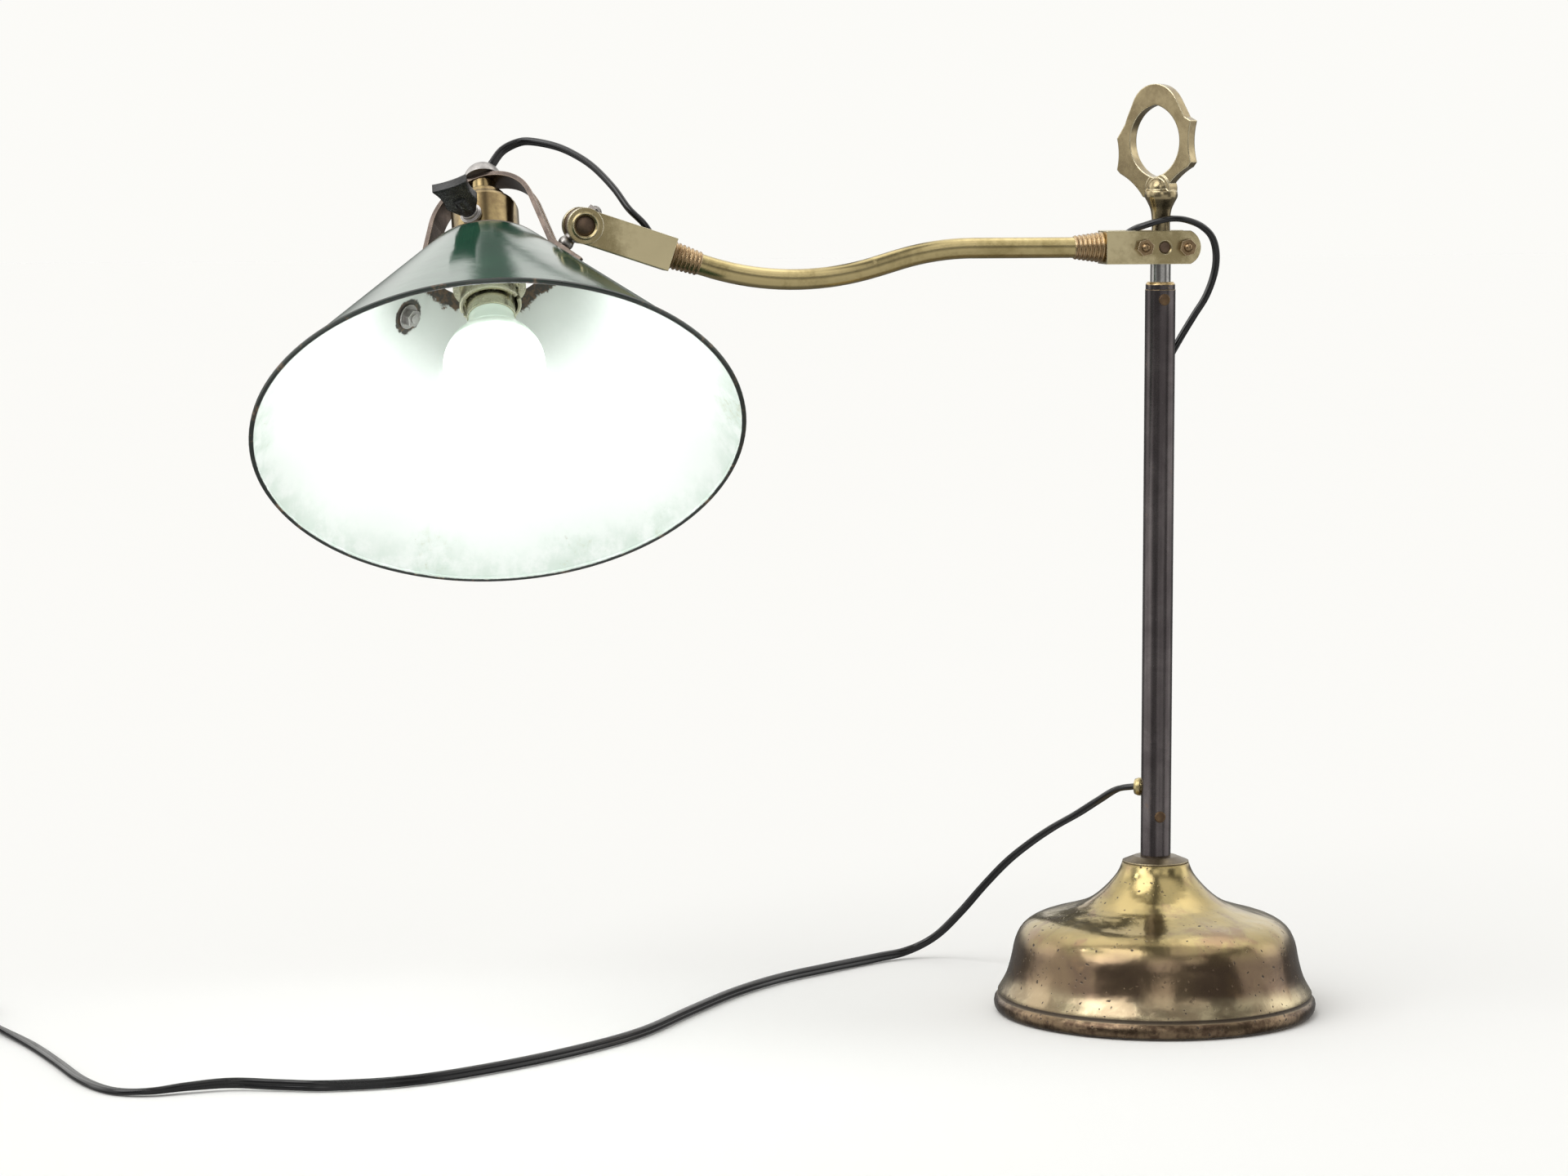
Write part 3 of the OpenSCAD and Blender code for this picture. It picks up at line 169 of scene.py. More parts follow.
# Mains cord: x, y, z in millimetres and the turn of its flat side, 0 lying flat and 90 on edge.
# It ends in a tied coil, whose step is in degrees
mainsCord = {
    "points": [
        (-8.66, 5, 105, 0), (-15.6, 11.2, 103, 0), (-21.2, 23, 96.2, 0), (-26.6, 41, 87.15, 0),
        (-33, 60, 78, 0), (-39, 80, 67.5, 0), (-45, 100, 55.5, 0), (-51.5, 119.5, 40.7, 0),
        (-59.2, 136, 24.8, 10), (-69, 147.5, 11.2, 30), (-82.5, 150.5, 3.9, 60), (-100, 142.5, 2.5, 85),
        (-131, 120.5, 2.5, 90), (-159, 99, 2.5, 90), (-187, 69, 2.5, 90), (-216, 29, 2.5, 90),
        (-246, -14, 2.5, 90), (-278, -45, 2.5, 90), (-318, -74, 2.5, 90), (-361, -96, 2.5, 90),
        (-396, -99.5, 2.5, 90), (-418, -94, 2.7, 88), (-438, -88.5, 3.2, 75), (-457, -90, 2.8, 45),
        (-474, -92.5, 2.0, 18), (-489, -85, 1.5, 3), (-500, -61, 1.5, 0), (-509, -20, 1.5, 0),
        (-518, 18, 1.5, 0), (-530, 55, 2.0, 30), (-540.3, 84, 3.1, 80), (-541, 100, 3.4, 90),
    ],
    "coilAt": (-572, 100),
    "coilOuter": 31.0,
    "coilInner": 20.5,
    "turns": 3,
    "step": 7.5,
    "low": 3.4,
    "layer": 5.5,
    "tail": 9.6,
    "leaves": (-0.866, 0.5, 0),
    "steps": 8,
}


def coilRoute(d):
    # spiral in, half a turn climbing one layer, spiral out again, then straight to the plug
    half = 360 * d["turns"]
    outer, inner = d["coilOuter"], d["coilInner"]
    a = np.arange(d["step"], 2 * half + 181, d["step"])
    r = np.interp(a, [0, half, half + 180, 2 * half + 180], [outer, inner, inner, outer])
    z = d["low"] + d["layer"] * np.interp(a, [half, half + 180], [0, 1])
    w = np.radians(a)
    coil = np.stack([d["coilAt"][0] + r * np.cos(w), d["coilAt"][1] + r * np.sin(w), z], axis=1)
    tail = coil[-1] + np.array([[0, -d["tail"] / 2, 0], [0, -d["tail"], 0]])
    return np.vstack([coil, tail])


def makeMains(d):
    line = smoothRoute(d["points"], d["steps"])
    coil = coilRoute(d)
    route = np.vstack([line[:, :3], coil]) / 1000
    turn = np.radians(np.concatenate([line[:, 3], np.full(len(coil), 90.0)]))[:, None]
    run = unit(np.gradient(route, axis=0))
    flat = unit(np.cross((0, 0, 1), run))
    sides = np.cos(turn) * flat + np.sin(turn) * np.cross(run, flat)
    cord = sweepCord("mainsCord", route, sides, first=d["leaves"], last=(0, -1, 0))
    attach(cord, "base")
    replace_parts(cord, "mains_cord", "mains_coil")
    return cord


# Cord between the outlet dome and the front fork; it bends at the ball, so it is made in two lengths
headLoop = {
    "outlet": (5.2, 0, 54.6),
    "ball": (-269.30022, 0, 367.04921),
    "points": [
        (-28, 55, 33), (-21, 57, 36.5), (-15, 55, 37.3), (-5, 46.5, 35.2), (2.6, 37, 31.4),
        (9.6, 26, 25.6), (16.4, 13, 16.5), (21.7, 5, 7.5), (27.7, 1, 1), (31.2, 0, -4.36),
    ],
    "wide": [tuple(headFrame["y"]), (0, 1, 0)],
    "out": (0.513, 0.328, 0.794),
    "into": (0.767, -0.118, -0.631),
    "split": 6,
}
# Cord between the rear fork and the post, in two lengths for the same reason
postLoop = {
    "points": [
        (-20, -0.6, 359.8), (-14.5, -4, 364), (-10, -8.2, 366.2), (-1.8, -10.6, 368.7), (4.5, -10.2, 369.2),
        (11.3, -7.8, 368.1), (18.2, -5, 365.4), (23.6, -3, 360.6), (26.3, -1, 353.1), (26.2, 1, 344),
        (23, 3, 333.4), (17.7, 4.5, 324.3), (12.2, 5, 315.3), (6.2, 3.5, 306),
    ],
    "wide": [(0, 1, 0), (0, 1, 0)],
    "out": (0.80, -0.16, 0.53),
    "into": (-0.534, -0.136, -0.835),
    "split": 6,
}


def makeLoop(names, points, d, bodies, node, steps=8):
    # one smooth line, cut into two lengths at the split point; the wide side turns evenly
    # from one end to the other
    route = smoothRoute(points, steps) / 1000
    runs = unit(np.gradient(route, axis=0))
    t = np.linspace(0, 1, len(route))[:, None]
    wide = (1 - t) * np.array(d["wide"][0]) + t * np.array(d["wide"][1])
    cut = d["split"] * steps
    made = []
    for k, (name, at) in enumerate(zip(names, (slice(0, cut + 1), slice(cut, None)))):
        ends = (d["out"], runs[cut]) if k == 0 else (runs[cut], d["into"])
        part = route[at]
        piece = sweepCord(name, part, wide[at], *ends)
        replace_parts(piece, node)
        bodies[k + 1]
        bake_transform(piece)
        made.append(piece)
    return made


# Cord inside the arm (distance from the post and height over the pivot), the post and the nipple
innerLeads = {
    "arm": [
        (238.10, 6.69), (235.15, 2.87), (232.03, -0.47), (226.68, -3.39), (217.05, -6.13), (214.39, -7.0),
        (188.02, -12.81), (161.02, -13.21), (134.48, -8.19), (123.93, -5.07), (106.65, -1.27), (89, 0),
        (44.5, 0), (32, 0), (25, 1), (20, 3.8),
    ],
    "post": [
        (6.2, 3.5, 306), (4.06, 2.96, 302.66), (0.8, 0.4, 294), (0, 0, 278), (0, 0, 222.5), (0, 0, 123),
        (-1.39, 0.8, 110.5), (-4.76, 2.75, 105.4), (-8.66, 5, 105),
    ],
    "nipple": [(0, 0, 19), (0, 0, 30), (0, 0, 41.3), (0.4, 0, 46.5), (2.4, 0, 50.5), (5.2, 0, 54.6)],
    "pivotHeight": 356,
    "leanFrom": 24,
    "lean": 0.15,
    "steps": 3,
}


def makeInner(d):
    # near the post the arm's cord leans towards the viewer
    arm = smoothRoute(d["arm"], d["steps"])
    lean = np.where(arm[:, 0] < d["leanFrom"], -d["lean"] * (d["leanFrom"] - arm[:, 0]), 0)
    arm = np.stack([-arm[:, 0], lean, d["pivotHeight"] + arm[:, 1]], axis=1) / 1000
    post = smoothRoute(d["post"], d["steps"]) / 1000
    nipple = inHead(smoothRoute(d["nipple"], d["steps"]))
    rows = [
        ("armLead", arm, (0, 1, 0), "arm", "arm_lead"),
        ("postLead", post, (0.5, 0.87, 0), "base", "post_lead"),
        ("headLead", nipple, headFrame["y"], "head", "head_lead"),
    ]
    made = []
    for name, route, side, body, node in rows:
        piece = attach(sweepCord(name, route, np.asarray(side, float)), body)
        made.append(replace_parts(piece, node))
    return made


ball = np.array(headLoop["ball"])
headPoints = np.vstack([inHead(headLoop["outlet"])[None] * 1000, ball + np.array(headLoop["points"])])
cords = [makeMains(mainsCord)]
headNames, headBodies = ("headLoopUpper", "headLoopLower"), ("head", "head_ball", "arm")
cords += makeLoop(headNames, headPoints, headLoop, headBodies, "head_loop")
postNames, postBodies = ("postLoopUpper", "postLoopLower"), ("arm", "pivot_ball", "base")
cords += makeLoop(postNames, postLoop["points"], postLoop, postBodies, "post_loop")
cords += makeInner(innerLeads)
print("cords:", len(cords), "lengths")

# Felt under the base: a disc with a soft rounded edge and a hand-cut outline
feltSet = {
    "around": 192, "edge": 9, "across": 12, "middle": 0.002, "cut": 0.00012, "falloff": 8,
    "waves": [(7, 1.0, 0), (19, 0.7, 1), (43, 0.5, 2)],
}


def makeFelt(d):
    # profile from the middle of the underside out, round the edge by a half circle, and back over the top;
    # the outline wavers by a few sines of the angle
    low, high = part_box("base_felt")
    t = (high.z - low.z) / 2
    r = high.x - t - 3 * d["cut"]
    bend = np.linspace(-np.pi / 2, np.pi / 2, d["edge"])
    n, flat = d["across"], np.linspace(d["middle"], r, d["across"])
    radius = np.concatenate([flat, r + t * np.cos(bend[1:-1]), np.linspace(r, d["middle"], n)])
    height = np.concatenate([np.full(n, -t), t * np.sin(bend[1:-1]), np.full(n, t)]) + low.z + t
    a = np.linspace(0, 2 * np.pi, d["around"], endpoint=False)
    waver = d["cut"] * sum(size * np.sin(count * a + turn) for count, size, turn in d["waves"])
    rim = (radius[:, None] / r) ** d["falloff"] * waver + radius[:, None]
    level = np.broadcast_to(height[:, None], rim.shape)
    rings = np.stack([rim * np.cos(a), rim * np.sin(a), level], axis=-1)
    felt = ringPiece("baseFelt", rings, radius)
    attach(felt, "base")
    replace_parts(felt, "base_felt")
    return felt


felt = makeFelt(feltSet)
print("felt made")


class Wire:
    # a socket in a node tree; operators between wires and numbers add Math nodes
    def __init__(self, tree, socket=None):
        self.tree, self.socket = tree, socket

    def node(self, kind, settings=None, inputs=None, out=0):
        made = self.tree.nodes.new("ShaderNode" + kind)
        for key, value in (settings or {}).items():
            setattr(made, key, value)
        for key, value in (inputs or {}).items():
            if isinstance(value, Wire):
                self.tree.links.new(value.socket, made.inputs[key])
            else:
                made.inputs[key].default_value = value
        return Wire(self.tree, made.outputs[out] if made.outputs else None)

    def maths(self, operation, *values):
        return self.node("Math", {"operation": operation}, dict(enumerate(values)))

    def __add__(self, other):
        return self.maths("ADD", self, other)

    def __radd__(self, other):
        return self.maths("ADD", other, self)

    def __sub__(self, other):
        return self.maths("SUBTRACT", self, other)

    def __rsub__(self, other):
        return self.maths("SUBTRACT", other, self)

    def __mul__(self, other):
        return self.maths("MULTIPLY", self, other)

    def __rmul__(self, other):
        return self.maths("MULTIPLY", other, self)

    def size(self):
        return self.maths("ABSOLUTE", self)

    def most(self, other):
        return self.maths("MAXIMUM", self, other)

    def axis(self, which):
        return self.node("SeparateXYZ", {}, {0: self}, which)

    def vector(self, operation, other, out=0):
        return self.node("VectorMath", {"operation": operation}, {0: self, 1: other}, out)

    def dot(self, other):
        return self.vector("DOT_PRODUCT", other, 1)

    def band(self, low, high):
        # 0 below low, 1 above high, smooth between; low above high turns it round
        if low > high:
            return 1 - self.band(high, low)
        return self.node("MapRange", {"interpolation_type": "SMOOTHSTEP"}, {0: self, 1: low, 2: high})

    def tint(self, a, b):
        # a where this wire is 0, b where it is 1; plain colours get their fourth number here
        a, b = ((*c, 1) if isinstance(c, tuple) else c for c in (a, b))
        return self.node("Mix", {"data_type": "RGBA"}, {0: self, 6: a, 7: b}, 2)

    def noise(self, scale, detail=5, rough=0.6, twist=0.0):
        inputs = {"Vector": self, "Scale": scale, "Detail": detail, "Roughness": rough, "Distortion": twist}
        return self.node("TexNoise", {}, inputs)

    def stretched(self, x, y, z):
        return self.vector("MULTIPLY", (x, y, z))

    def bump(self, depth, normal=None):
        inputs = {"Height": self, "Distance": depth, "Strength": 1.0}
        return self.node("Bump", {}, inputs if normal is None else {**inputs, "Normal": normal})


def startMaterial(name):
    material = bpy.data.materials.new(name)
    material.use_nodes = True
    material.node_tree.nodes.clear()
    wire = Wire(material.node_tree)
    return material, wire, wire.node("TexCoord", out="Object")


socketNames = {
    "baseColor": "Base Color", "metallic": "Metallic", "roughness": "Roughness", "normal": "Normal",
    "ior": "IOR", "specular": "Specular IOR Level", "sheenWeight": "Sheen Weight",
    "emissionColor": "Emission Color", "emissionStrength": "Emission Strength",
}


def surface(wire, **sockets):
    shader = wire.node("BsdfPrincipled", {}, {socketNames[key]: value for key, value in sockets.items()})
    wire.node("OutputMaterial", {}, {"Surface": shader})


def roundEdge(wire, radius):
    # normal eased over the edges, and a mask that is 1 where the surface turns
    eased = wire.node("Bevel", {"samples": 6}, {"Radius": radius})
    turned = 1 - eased.dot(wire.node("NewGeometry", out="Normal"))
    return eased, turned.band(0.015, 0.16)


def agedMetal(name, d):
    # clouds of tarnish over bright metal, fine speckle, hair scratches along one way, rubbed edges
    material, w, place = startMaterial(name)
    cloud = place.noise(d["cloud"], 6, 0.65, 0.4)
    fine = place.noise(d["cloud"] * 8, 4, 0.7)
    hair = place.stretched(*d["grain"]).noise(1.0, 3, 0.6)
    speck = place.noise(1400, 2, 0.5)
    patches = cloud * 0.75 + fine * 0.25
    if "paintedShadeAlongX" in d:
        # painted shade along x, laid over the tarnish: lighter from full to fullEnd, darker before start and
        # past end
        x = place.axis(0)
        start, full, fullEnd, end = d["paintedShadeAlongX"]
        patches = patches + 0.10 - x.band(start, full) * x.band(end, fullEnd) * 0.20
    cover = patches.band(*d["cover"])
    colour = cover.tint(d["bright"], d["dull"])
    spots = (speck * 0.55 + fine * 0.45).band(*d["spots"])
    colour = spots.tint(colour, d["dark"])
    eased, turned = roundEdge(w, d["edge"])
    rub = turned * (0.35 + cloud * 1.1).band(0.5, 1.0)
    colour = rub.tint(colour, d["rubbed"])
    least, most = d["rough"]
    rough = least + (cover * 0.6 + fine * 0.4) * (most - least) + spots * 0.2 - rub * 0.08
    if "wave" in d:
        # broad unevenness of a cast or filed piece
        eased = place.noise(d["cloud"] * 0.8, 2, 0.4).bump(d["wave"], eased)
    height = hair * 0.5 + fine * 0.35 - spots * 0.5 + cloud * 0.3
    surface(
        w, baseColor=colour, metallic=1 - spots * 0.5 - cover * d["film"],
        roughness=rough, normal=height.bump(d["depth"], eased),
    )
    return material


# One set of values for each metal finish: colours, clouds per metre, limits of the tarnish and the spots,
# grain along x, y, z, edge radius, roughness from bright to dull, how much less metallic tarnish is, and the
# depth of the grain in metres
metals = {
    "forkBrass": {
        "bright": (0.68, 0.585, 0.355), "dull": (0.37, 0.30, 0.158), "dark": (0.13, 0.09, 0.05),
        "rubbed": (0.97, 0.90, 0.70), "cloud": 38, "cover": (0.38, 0.66), "spots": (0.68, 0.76),
        "grain": (60, 900, 900), "edge": 0.0006, "rough": (0.20, 0.30), "film": 0.05, "depth": 0.000012,
        # the last entry paints shade along x: darker towards both ends of its span, lighter between
        "wave": 0.0004, "paintedShadeAlongX": (-0.266, -0.238, -0.040, 0.006),
    },
    "ringBrass": {
        "bright": (0.37, 0.302, 0.178), "dull": (0.24, 0.188, 0.108), "dark": (0.09, 0.063, 0.038),
        "rubbed": (0.95, 0.86, 0.62), "cloud": 55, "cover": (0.38, 0.64), "spots": (0.66, 0.75),
        "grain": (300, 300, 120), "edge": 0.0009, "rough": (0.17, 0.28), "film": 0.06, "depth": 0.00002,
        "wave": 0.0004,
    },
    "armBrass": {
        "bright": (0.52, 0.425, 0.215), "dull": (0.35, 0.278, 0.125), "dark": (0.14, 0.08, 0.035),
        "rubbed": (0.85, 0.70, 0.38), "cloud": 40, "cover": (0.42, 0.70), "spots": (0.67, 0.75),
        "grain": (50, 700, 700), "edge": 0.0025, "rough": (0.11, 0.18), "film": 0.04, "depth": 0.000010,
    },
    "ferruleBrass": {
        "bright": (0.48, 0.34, 0.19), "dull": (0.27, 0.175, 0.095), "dark": (0.06, 0.036, 0.02),
        "rubbed": (0.88, 0.72, 0.46), "cloud": 90, "cover": (0.36, 0.62), "spots": (0.66, 0.75),
        "grain": (1200, 90, 90), "edge": 0.0004, "rough": (0.18, 0.30), "film": 0.08, "depth": 0.00002,
    },
    "nutBronze": {
        "bright": (0.37, 0.258, 0.145), "dull": (0.21, 0.14, 0.076), "dark": (0.07, 0.045, 0.026),
        "rubbed": (0.92, 0.76, 0.52), "cloud": 120, "cover": (0.36, 0.62), "spots": (0.66, 0.75),
        "grain": (300, 300, 300), "edge": 0.0005, "rough": (0.20, 0.32), "film": 0.06, "depth": 0.00002,
    },
    "ballBronze": {
        "bright": (0.20, 0.138, 0.095), "dull": (0.125, 0.084, 0.060), "dark": (0.04, 0.028, 0.02),
        "rubbed": (0.34, 0.25, 0.17), "cloud": 150, "cover": (0.34, 0.62), "spots": (0.63, 0.73),
        "grain": (500, 500, 500), "edge": 0.0005, "rough": (0.42, 0.56), "film": 0.25, "depth": 0.00003,
    },
    "rivetBronze": {
        "bright": (0.21, 0.135, 0.075), "dull": (0.115, 0.072, 0.045), "dark": (0.035, 0.024, 0.017),
        "rubbed": (0.30, 0.20, 0.12), "cloud": 220, "cover": (0.36, 0.62), "spots": (0.62, 0.72),
        "grain": (400, 400, 400), "edge": 0.0004, "rough": (0.34, 0.48), "film": 0.15, "depth": 0.00003,
    },
    "strapBronze": {
        "bright": (0.165, 0.129, 0.109), "dull": (0.088, 0.070, 0.061), "dark": (0.030, 0.024, 0.021),
        "rubbed": (0.52, 0.42, 0.34), "cloud": 55, "cover": (0.36, 0.64), "spots": (0.65, 0.75),
        "grain": (160, 160, 500), "edge": 0.0006, "rough": (0.22, 0.34), "film": 0.08, "depth": 0.00002,
    },
    "socketBrass": {
        "bright": (0.33, 0.25, 0.122), "dull": (0.185, 0.128, 0.064), "dark": (0.08, 0.05, 0.026),
        "rubbed": (0.86, 0.72, 0.42), "cloud": 60, "cover": (0.38, 0.66), "spots": (0.68, 0.76),
        "grain": (200, 200, 700), "edge": 0.0005, "rough": (0.16, 0.26), "film": 0.06, "depth": 0.000014,
    },
    "holderBrass": {
        "bright": (0.60, 0.58, 0.44), "dull": (0.42, 0.40, 0.28), "dark": (0.16, 0.13, 0.075),
        "rubbed": (0.84, 0.80, 0.60), "cloud": 70, "cover": (0.40, 0.68), "spots": (0.66, 0.75),
        "grain": (200, 200, 700), "edge": 0.0005, "rough": (0.22, 0.34), "film": 0.15, "depth": 0.000015,
    },
    "domeNickel": {
        "bright": (0.44, 0.42, 0.41), "dull": (0.30, 0.285, 0.277), "dark": (0.13, 0.115, 0.105),
        "rubbed": (0.88, 0.85, 0.82), "cloud": 110, "cover": (0.36, 0.64), "spots": (0.64, 0.75),
        "grain": (400, 400, 400), "edge": 0.0005, "rough": (0.34, 0.48), "film": 0.12, "depth": 0.00003,
    },
    "rodSteel": {
        "bright": (0.43, 0.42, 0.41), "dull": (0.26, 0.25, 0.245), "dark": (0.09, 0.078, 0.072),
        "rubbed": (0.84, 0.83, 0.81), "cloud": 110, "cover": (0.40, 0.68), "spots": (0.66, 0.75),
        "grain": (120, 120, 1800), "edge": 0.0005, "rough": (0.15, 0.26), "film": 0.06, "depth": 0.000012,
    },
    "boltSteel": {
        "bright": (0.36, 0.345, 0.33), "dull": (0.17, 0.152, 0.14), "dark": (0.05, 0.036, 0.03),
        "rubbed": (0.66, 0.64, 0.62), "cloud": 120, "cover": (0.36, 0.62), "spots": (0.63, 0.74),
        "grain": (500, 500, 500), "edge": 0.0005, "rough": (0.26, 0.42), "film": 0.12, "depth": 0.00003,
    },
    "plateIron": {
        "bright": (0.12, 0.115, 0.11), "dull": (0.055, 0.048, 0.044), "dark": (0.09, 0.038, 0.018),
        "rubbed": (0.30, 0.29, 0.28), "cloud": 60, "cover": (0.36, 0.62), "spots": (0.58, 0.70),
        "grain": (300, 300, 300), "edge": 0.0006, "rough": (0.45, 0.68), "film": 0.35, "depth": 0.00015,
    },
    "collarBrass": {
        "bright": (0.19, 0.150, 0.092), "dull": (0.112, 0.086, 0.053), "dark": (0.05, 0.034, 0.021),
        "rubbed": (0.62, 0.51, 0.31), "cloud": 70, "cover": (0.36, 0.62), "spots": (0.63, 0.73),
        "grain": (300, 300, 900), "edge": 0.0007, "rough": (0.28, 0.42), "film": 0.15, "depth": 0.00003,
    },
    "contactBrass": {
        "bright": (0.66, 0.49, 0.23), "dull": (0.44, 0.30, 0.13), "dark": (0.14, 0.08, 0.035),
        "rubbed": (0.88, 0.73, 0.42), "cloud": 150, "cover": (0.44, 0.74), "spots": (0.66, 0.76),
        "grain": (300, 300, 300), "edge": 0.0004, "rough": (0.16, 0.28), "film": 0.08, "depth": 0.00002,
    },
    "pinNickel": {
        "bright": (0.66, 0.65, 0.62), "dull": (0.48, 0.47, 0.45), "dark": (0.20, 0.19, 0.18),
        "rubbed": (0.86, 0.85, 0.82), "cloud": 110, "cover": (0.42, 0.70), "spots": (0.66, 0.76),
        "grain": (900, 90, 900), "edge": 0.0004, "rough": (0.16, 0.26), "film": 0.05, "depth": 0.000015,
    },
}
finishes = {name: agedMetal(name, d) for name, d in metals.items()}
print("metals:", len(finishes))

# Spun bell of the base: gold above, brown skirt that is partly tarnish and partly painted dark reflection, a
# paler foot as painted highlight, pits and dents, dark groove over the bead
bellSet = {
    "gold": (0.40, 0.31, 0.14), "olive": (0.32, 0.26, 0.125), "bronze": (0.27, 0.175, 0.105),
    "brown": (0.215, 0.152, 0.094), "plum": (0.155, 0.105, 0.072), "highlightPale": (0.54, 0.46, 0.29),
    "deep": (0.07, 0.043, 0.027), "pit": (0.045, 0.029, 0.018), "skirtTop": 0.0385, "groove": 0.0082,
    "beadTop": (0.0080, 0.0066), "footTop": (0.021, 0.013), "edge": 0.0030, "shine": 0.12, "depth": 0.0006,
}


def bellBrass(name, d):
    material, w, place = startMaterial(name)
    z = place.axis(2)
    cloud = place.noise(24, 4, 0.5, 0.8)
    mottle = place.noise(85, 5, 0.6, 0.5)
    fine = place.noise(420, 4, 0.6)
    # pits: warped cells, thickest in patches and towards the foot
    bent = place.node("TexNoise", {}, {"Vector": place, "Scale": 130}, 1).stretched(0.006, 0.006, 0.006)
    cells = place.vector("ADD", bent)
    pocks = cells.node("TexVoronoi", {}, {"Vector": cells, "Scale": 300, "Randomness": 1.0})
    pocks = pocks + (fine - 0.5) * 0.25
    crowd = (place.noise(30, 3, 0.6) + z.band(0.045, 0.010) * 0.07).band(0.41, 0.59)
    pits = (pocks + mottle * 0.36).band(0.39, 0.25) * crowd
    # ragged upper edge of the brown skirt, worn back to gold in places; the brown is partly tarnish and
    # partly painted dark reflection
    skirt = z + (mottle - 0.5) * 0.010 + (cloud - 0.5) * 0.020
    skirt = skirt.band(d["skirtTop"] + 0.006, d["skirtTop"] - 0.008)
    bead = (z + (fine - 0.5) * 0.001).band(*d["beadTop"])
    colour = (mottle * 0.5 + cloud * 0.5).band(0.38, 0.62).tint(d["gold"], d["olive"])
    colour = ((cloud * 0.6 + mottle * 0.4).band(0.50, 0.62) * 0.85).tint(colour, d["bronze"])
    brown = (cloud * 0.55 + mottle * 0.45).band(0.38, 0.62).tint(d["brown"], d["plum"])
    worn = (mottle * 0.6 + cloud * 0.4).band(0.56, 0.68)
    tarnishAndDarkReflection = skirt * (1 - worn * 0.7)
    colour = tarnishAndDarkReflection.tint(colour, brown)
    # paler foot as painted highlight, stained bead, dark groove
    footHighlight = (z + (mottle - 0.5) * 0.008 + (cloud - 0.5) * 0.012).band(*d["footTop"]) * (1 - bead)
    colour = (footHighlight * (0.25 + (cloud * 0.5 + mottle * 0.5).band(0.42, 0.60) * 0.6)).tint(colour, d["highlightPale"])
    colour = (bead * (mottle * 0.6 + fine * 0.4).band(0.44, 0.58) * 0.8).tint(colour, d["deep"])
    line = (z - d["groove"]).size().band(0.0012, 0.0005)
    colour = (line * 0.92).tint(colour, d["pit"])
    stain = (mottle * 0.45 + fine * 0.55).band(0.60, 0.70) * 0.5
    colour = stain.tint(colour, d["plum"])
    colour = pits.tint(colour, d["pit"])
    eased = roundEdge(w, d["edge"])[0]
    rough = d["shine"] + tarnishAndDarkReflection * 0.05 + mottle * 0.06 + pits * 0.35 + stain * 0.12 + line * 0.3
    waves = place.noise(34, 2, 0.4) * 2.2 + place.noise(75, 2, 0.5) * 0.5
    waves = waves + mottle * 0.18 + fine * 0.025 - pits * 0.14
    surface(
        w, baseColor=colour, metallic=1 - pits * 0.7 - line * 0.6 - tarnishAndDarkReflection * 0.05,
        roughness=rough, normal=waves.bump(d["depth"], eased),
    )
    return material


# Blackened post: near-black patina with lengthwise rubbing, brown freckles and a worn lighter side
postSet = {
    "black": (0.088, 0.075, 0.078), "worn": (0.170, 0.150, 0.152), "brown": (0.17, 0.10, 0.06),
    "brassThrough": (0.55, 0.40, 0.20), "topWorn": (0.325, 0.3368), "footWorn": (0.080, 0.0735),
    "topEdge": 0.3388, "edge": 0.0005, "shine": 0.22, "depth": 0.00004,
}


def postPatina(name, d):
    material, w, place = startMaterial(name)
    z = place.axis(2)
    cloud = place.noise(36, 5, 0.6, 0.5)
    freckle = place.noise(300, 4, 0.6)
    long = place.stretched(1, 1, 0.02).noise(380, 3, 0.55)
    worn = (cloud * 0.6 + long * 0.4).band(0.40, 0.66)
    colour = worn.tint(d["black"], d["worn"])
    rust = (freckle * 0.55 + cloud * 0.45).band(0.60, 0.68)
    colour = (rust * 0.6).tint(colour, d["brown"])
    ends = z.band(*d["topWorn"]) + z.band(*d["footWorn"])
    through = (freckle * 0.7 + long * 0.3).band(0.60, 0.70) * ends
    colour = through.tint(colour, d["brassThrough"])
    eased, turned = roundEdge(w, d["edge"])
    colour = (turned * (0.3 + ends * 0.7)).tint(colour, d["brassThrough"])
    colour = z.band(d["topEdge"] - 0.0003, d["topEdge"] + 0.0003).tint(colour, d["brassThrough"])
    rough = d["shine"] + freckle * 0.10 + rust * 0.15
    height = long * 0.3 + freckle * 0.35 - rust * 0.4
    skin = height.bump(d["depth"], eased)
    surface(w, baseColor=colour, metallic=0.95 - rust * 0.3, roughness=rough, normal=skin)
    return material


# Shade: green enamel outside, white inside, dark rolled rim, chips at the neck and round the bolts
shadeSet = {
    "green": (0.024, 0.105, 0.060), "deepGreen": (0.013, 0.062, 0.038), "white": (0.83, 0.86, 0.84),
    "mint": (0.60, 0.70, 0.63), "straw": (0.50, 0.49, 0.33), "rim": (0.014, 0.020, 0.017),
    "chip": (0.045, 0.040, 0.033), "rust": (0.13, 0.080, 0.045), "neckShade": (0.27, 0.36, 0.30),
    "topRadius": 0.0278, "slope": 0.80402, "wall": 0.001155, "bolt": (41.4, 0, -16.915), "mouth": -0.1005,
    "shine": 0.09, "depth": 0.00013, "ior": 1.65,
}


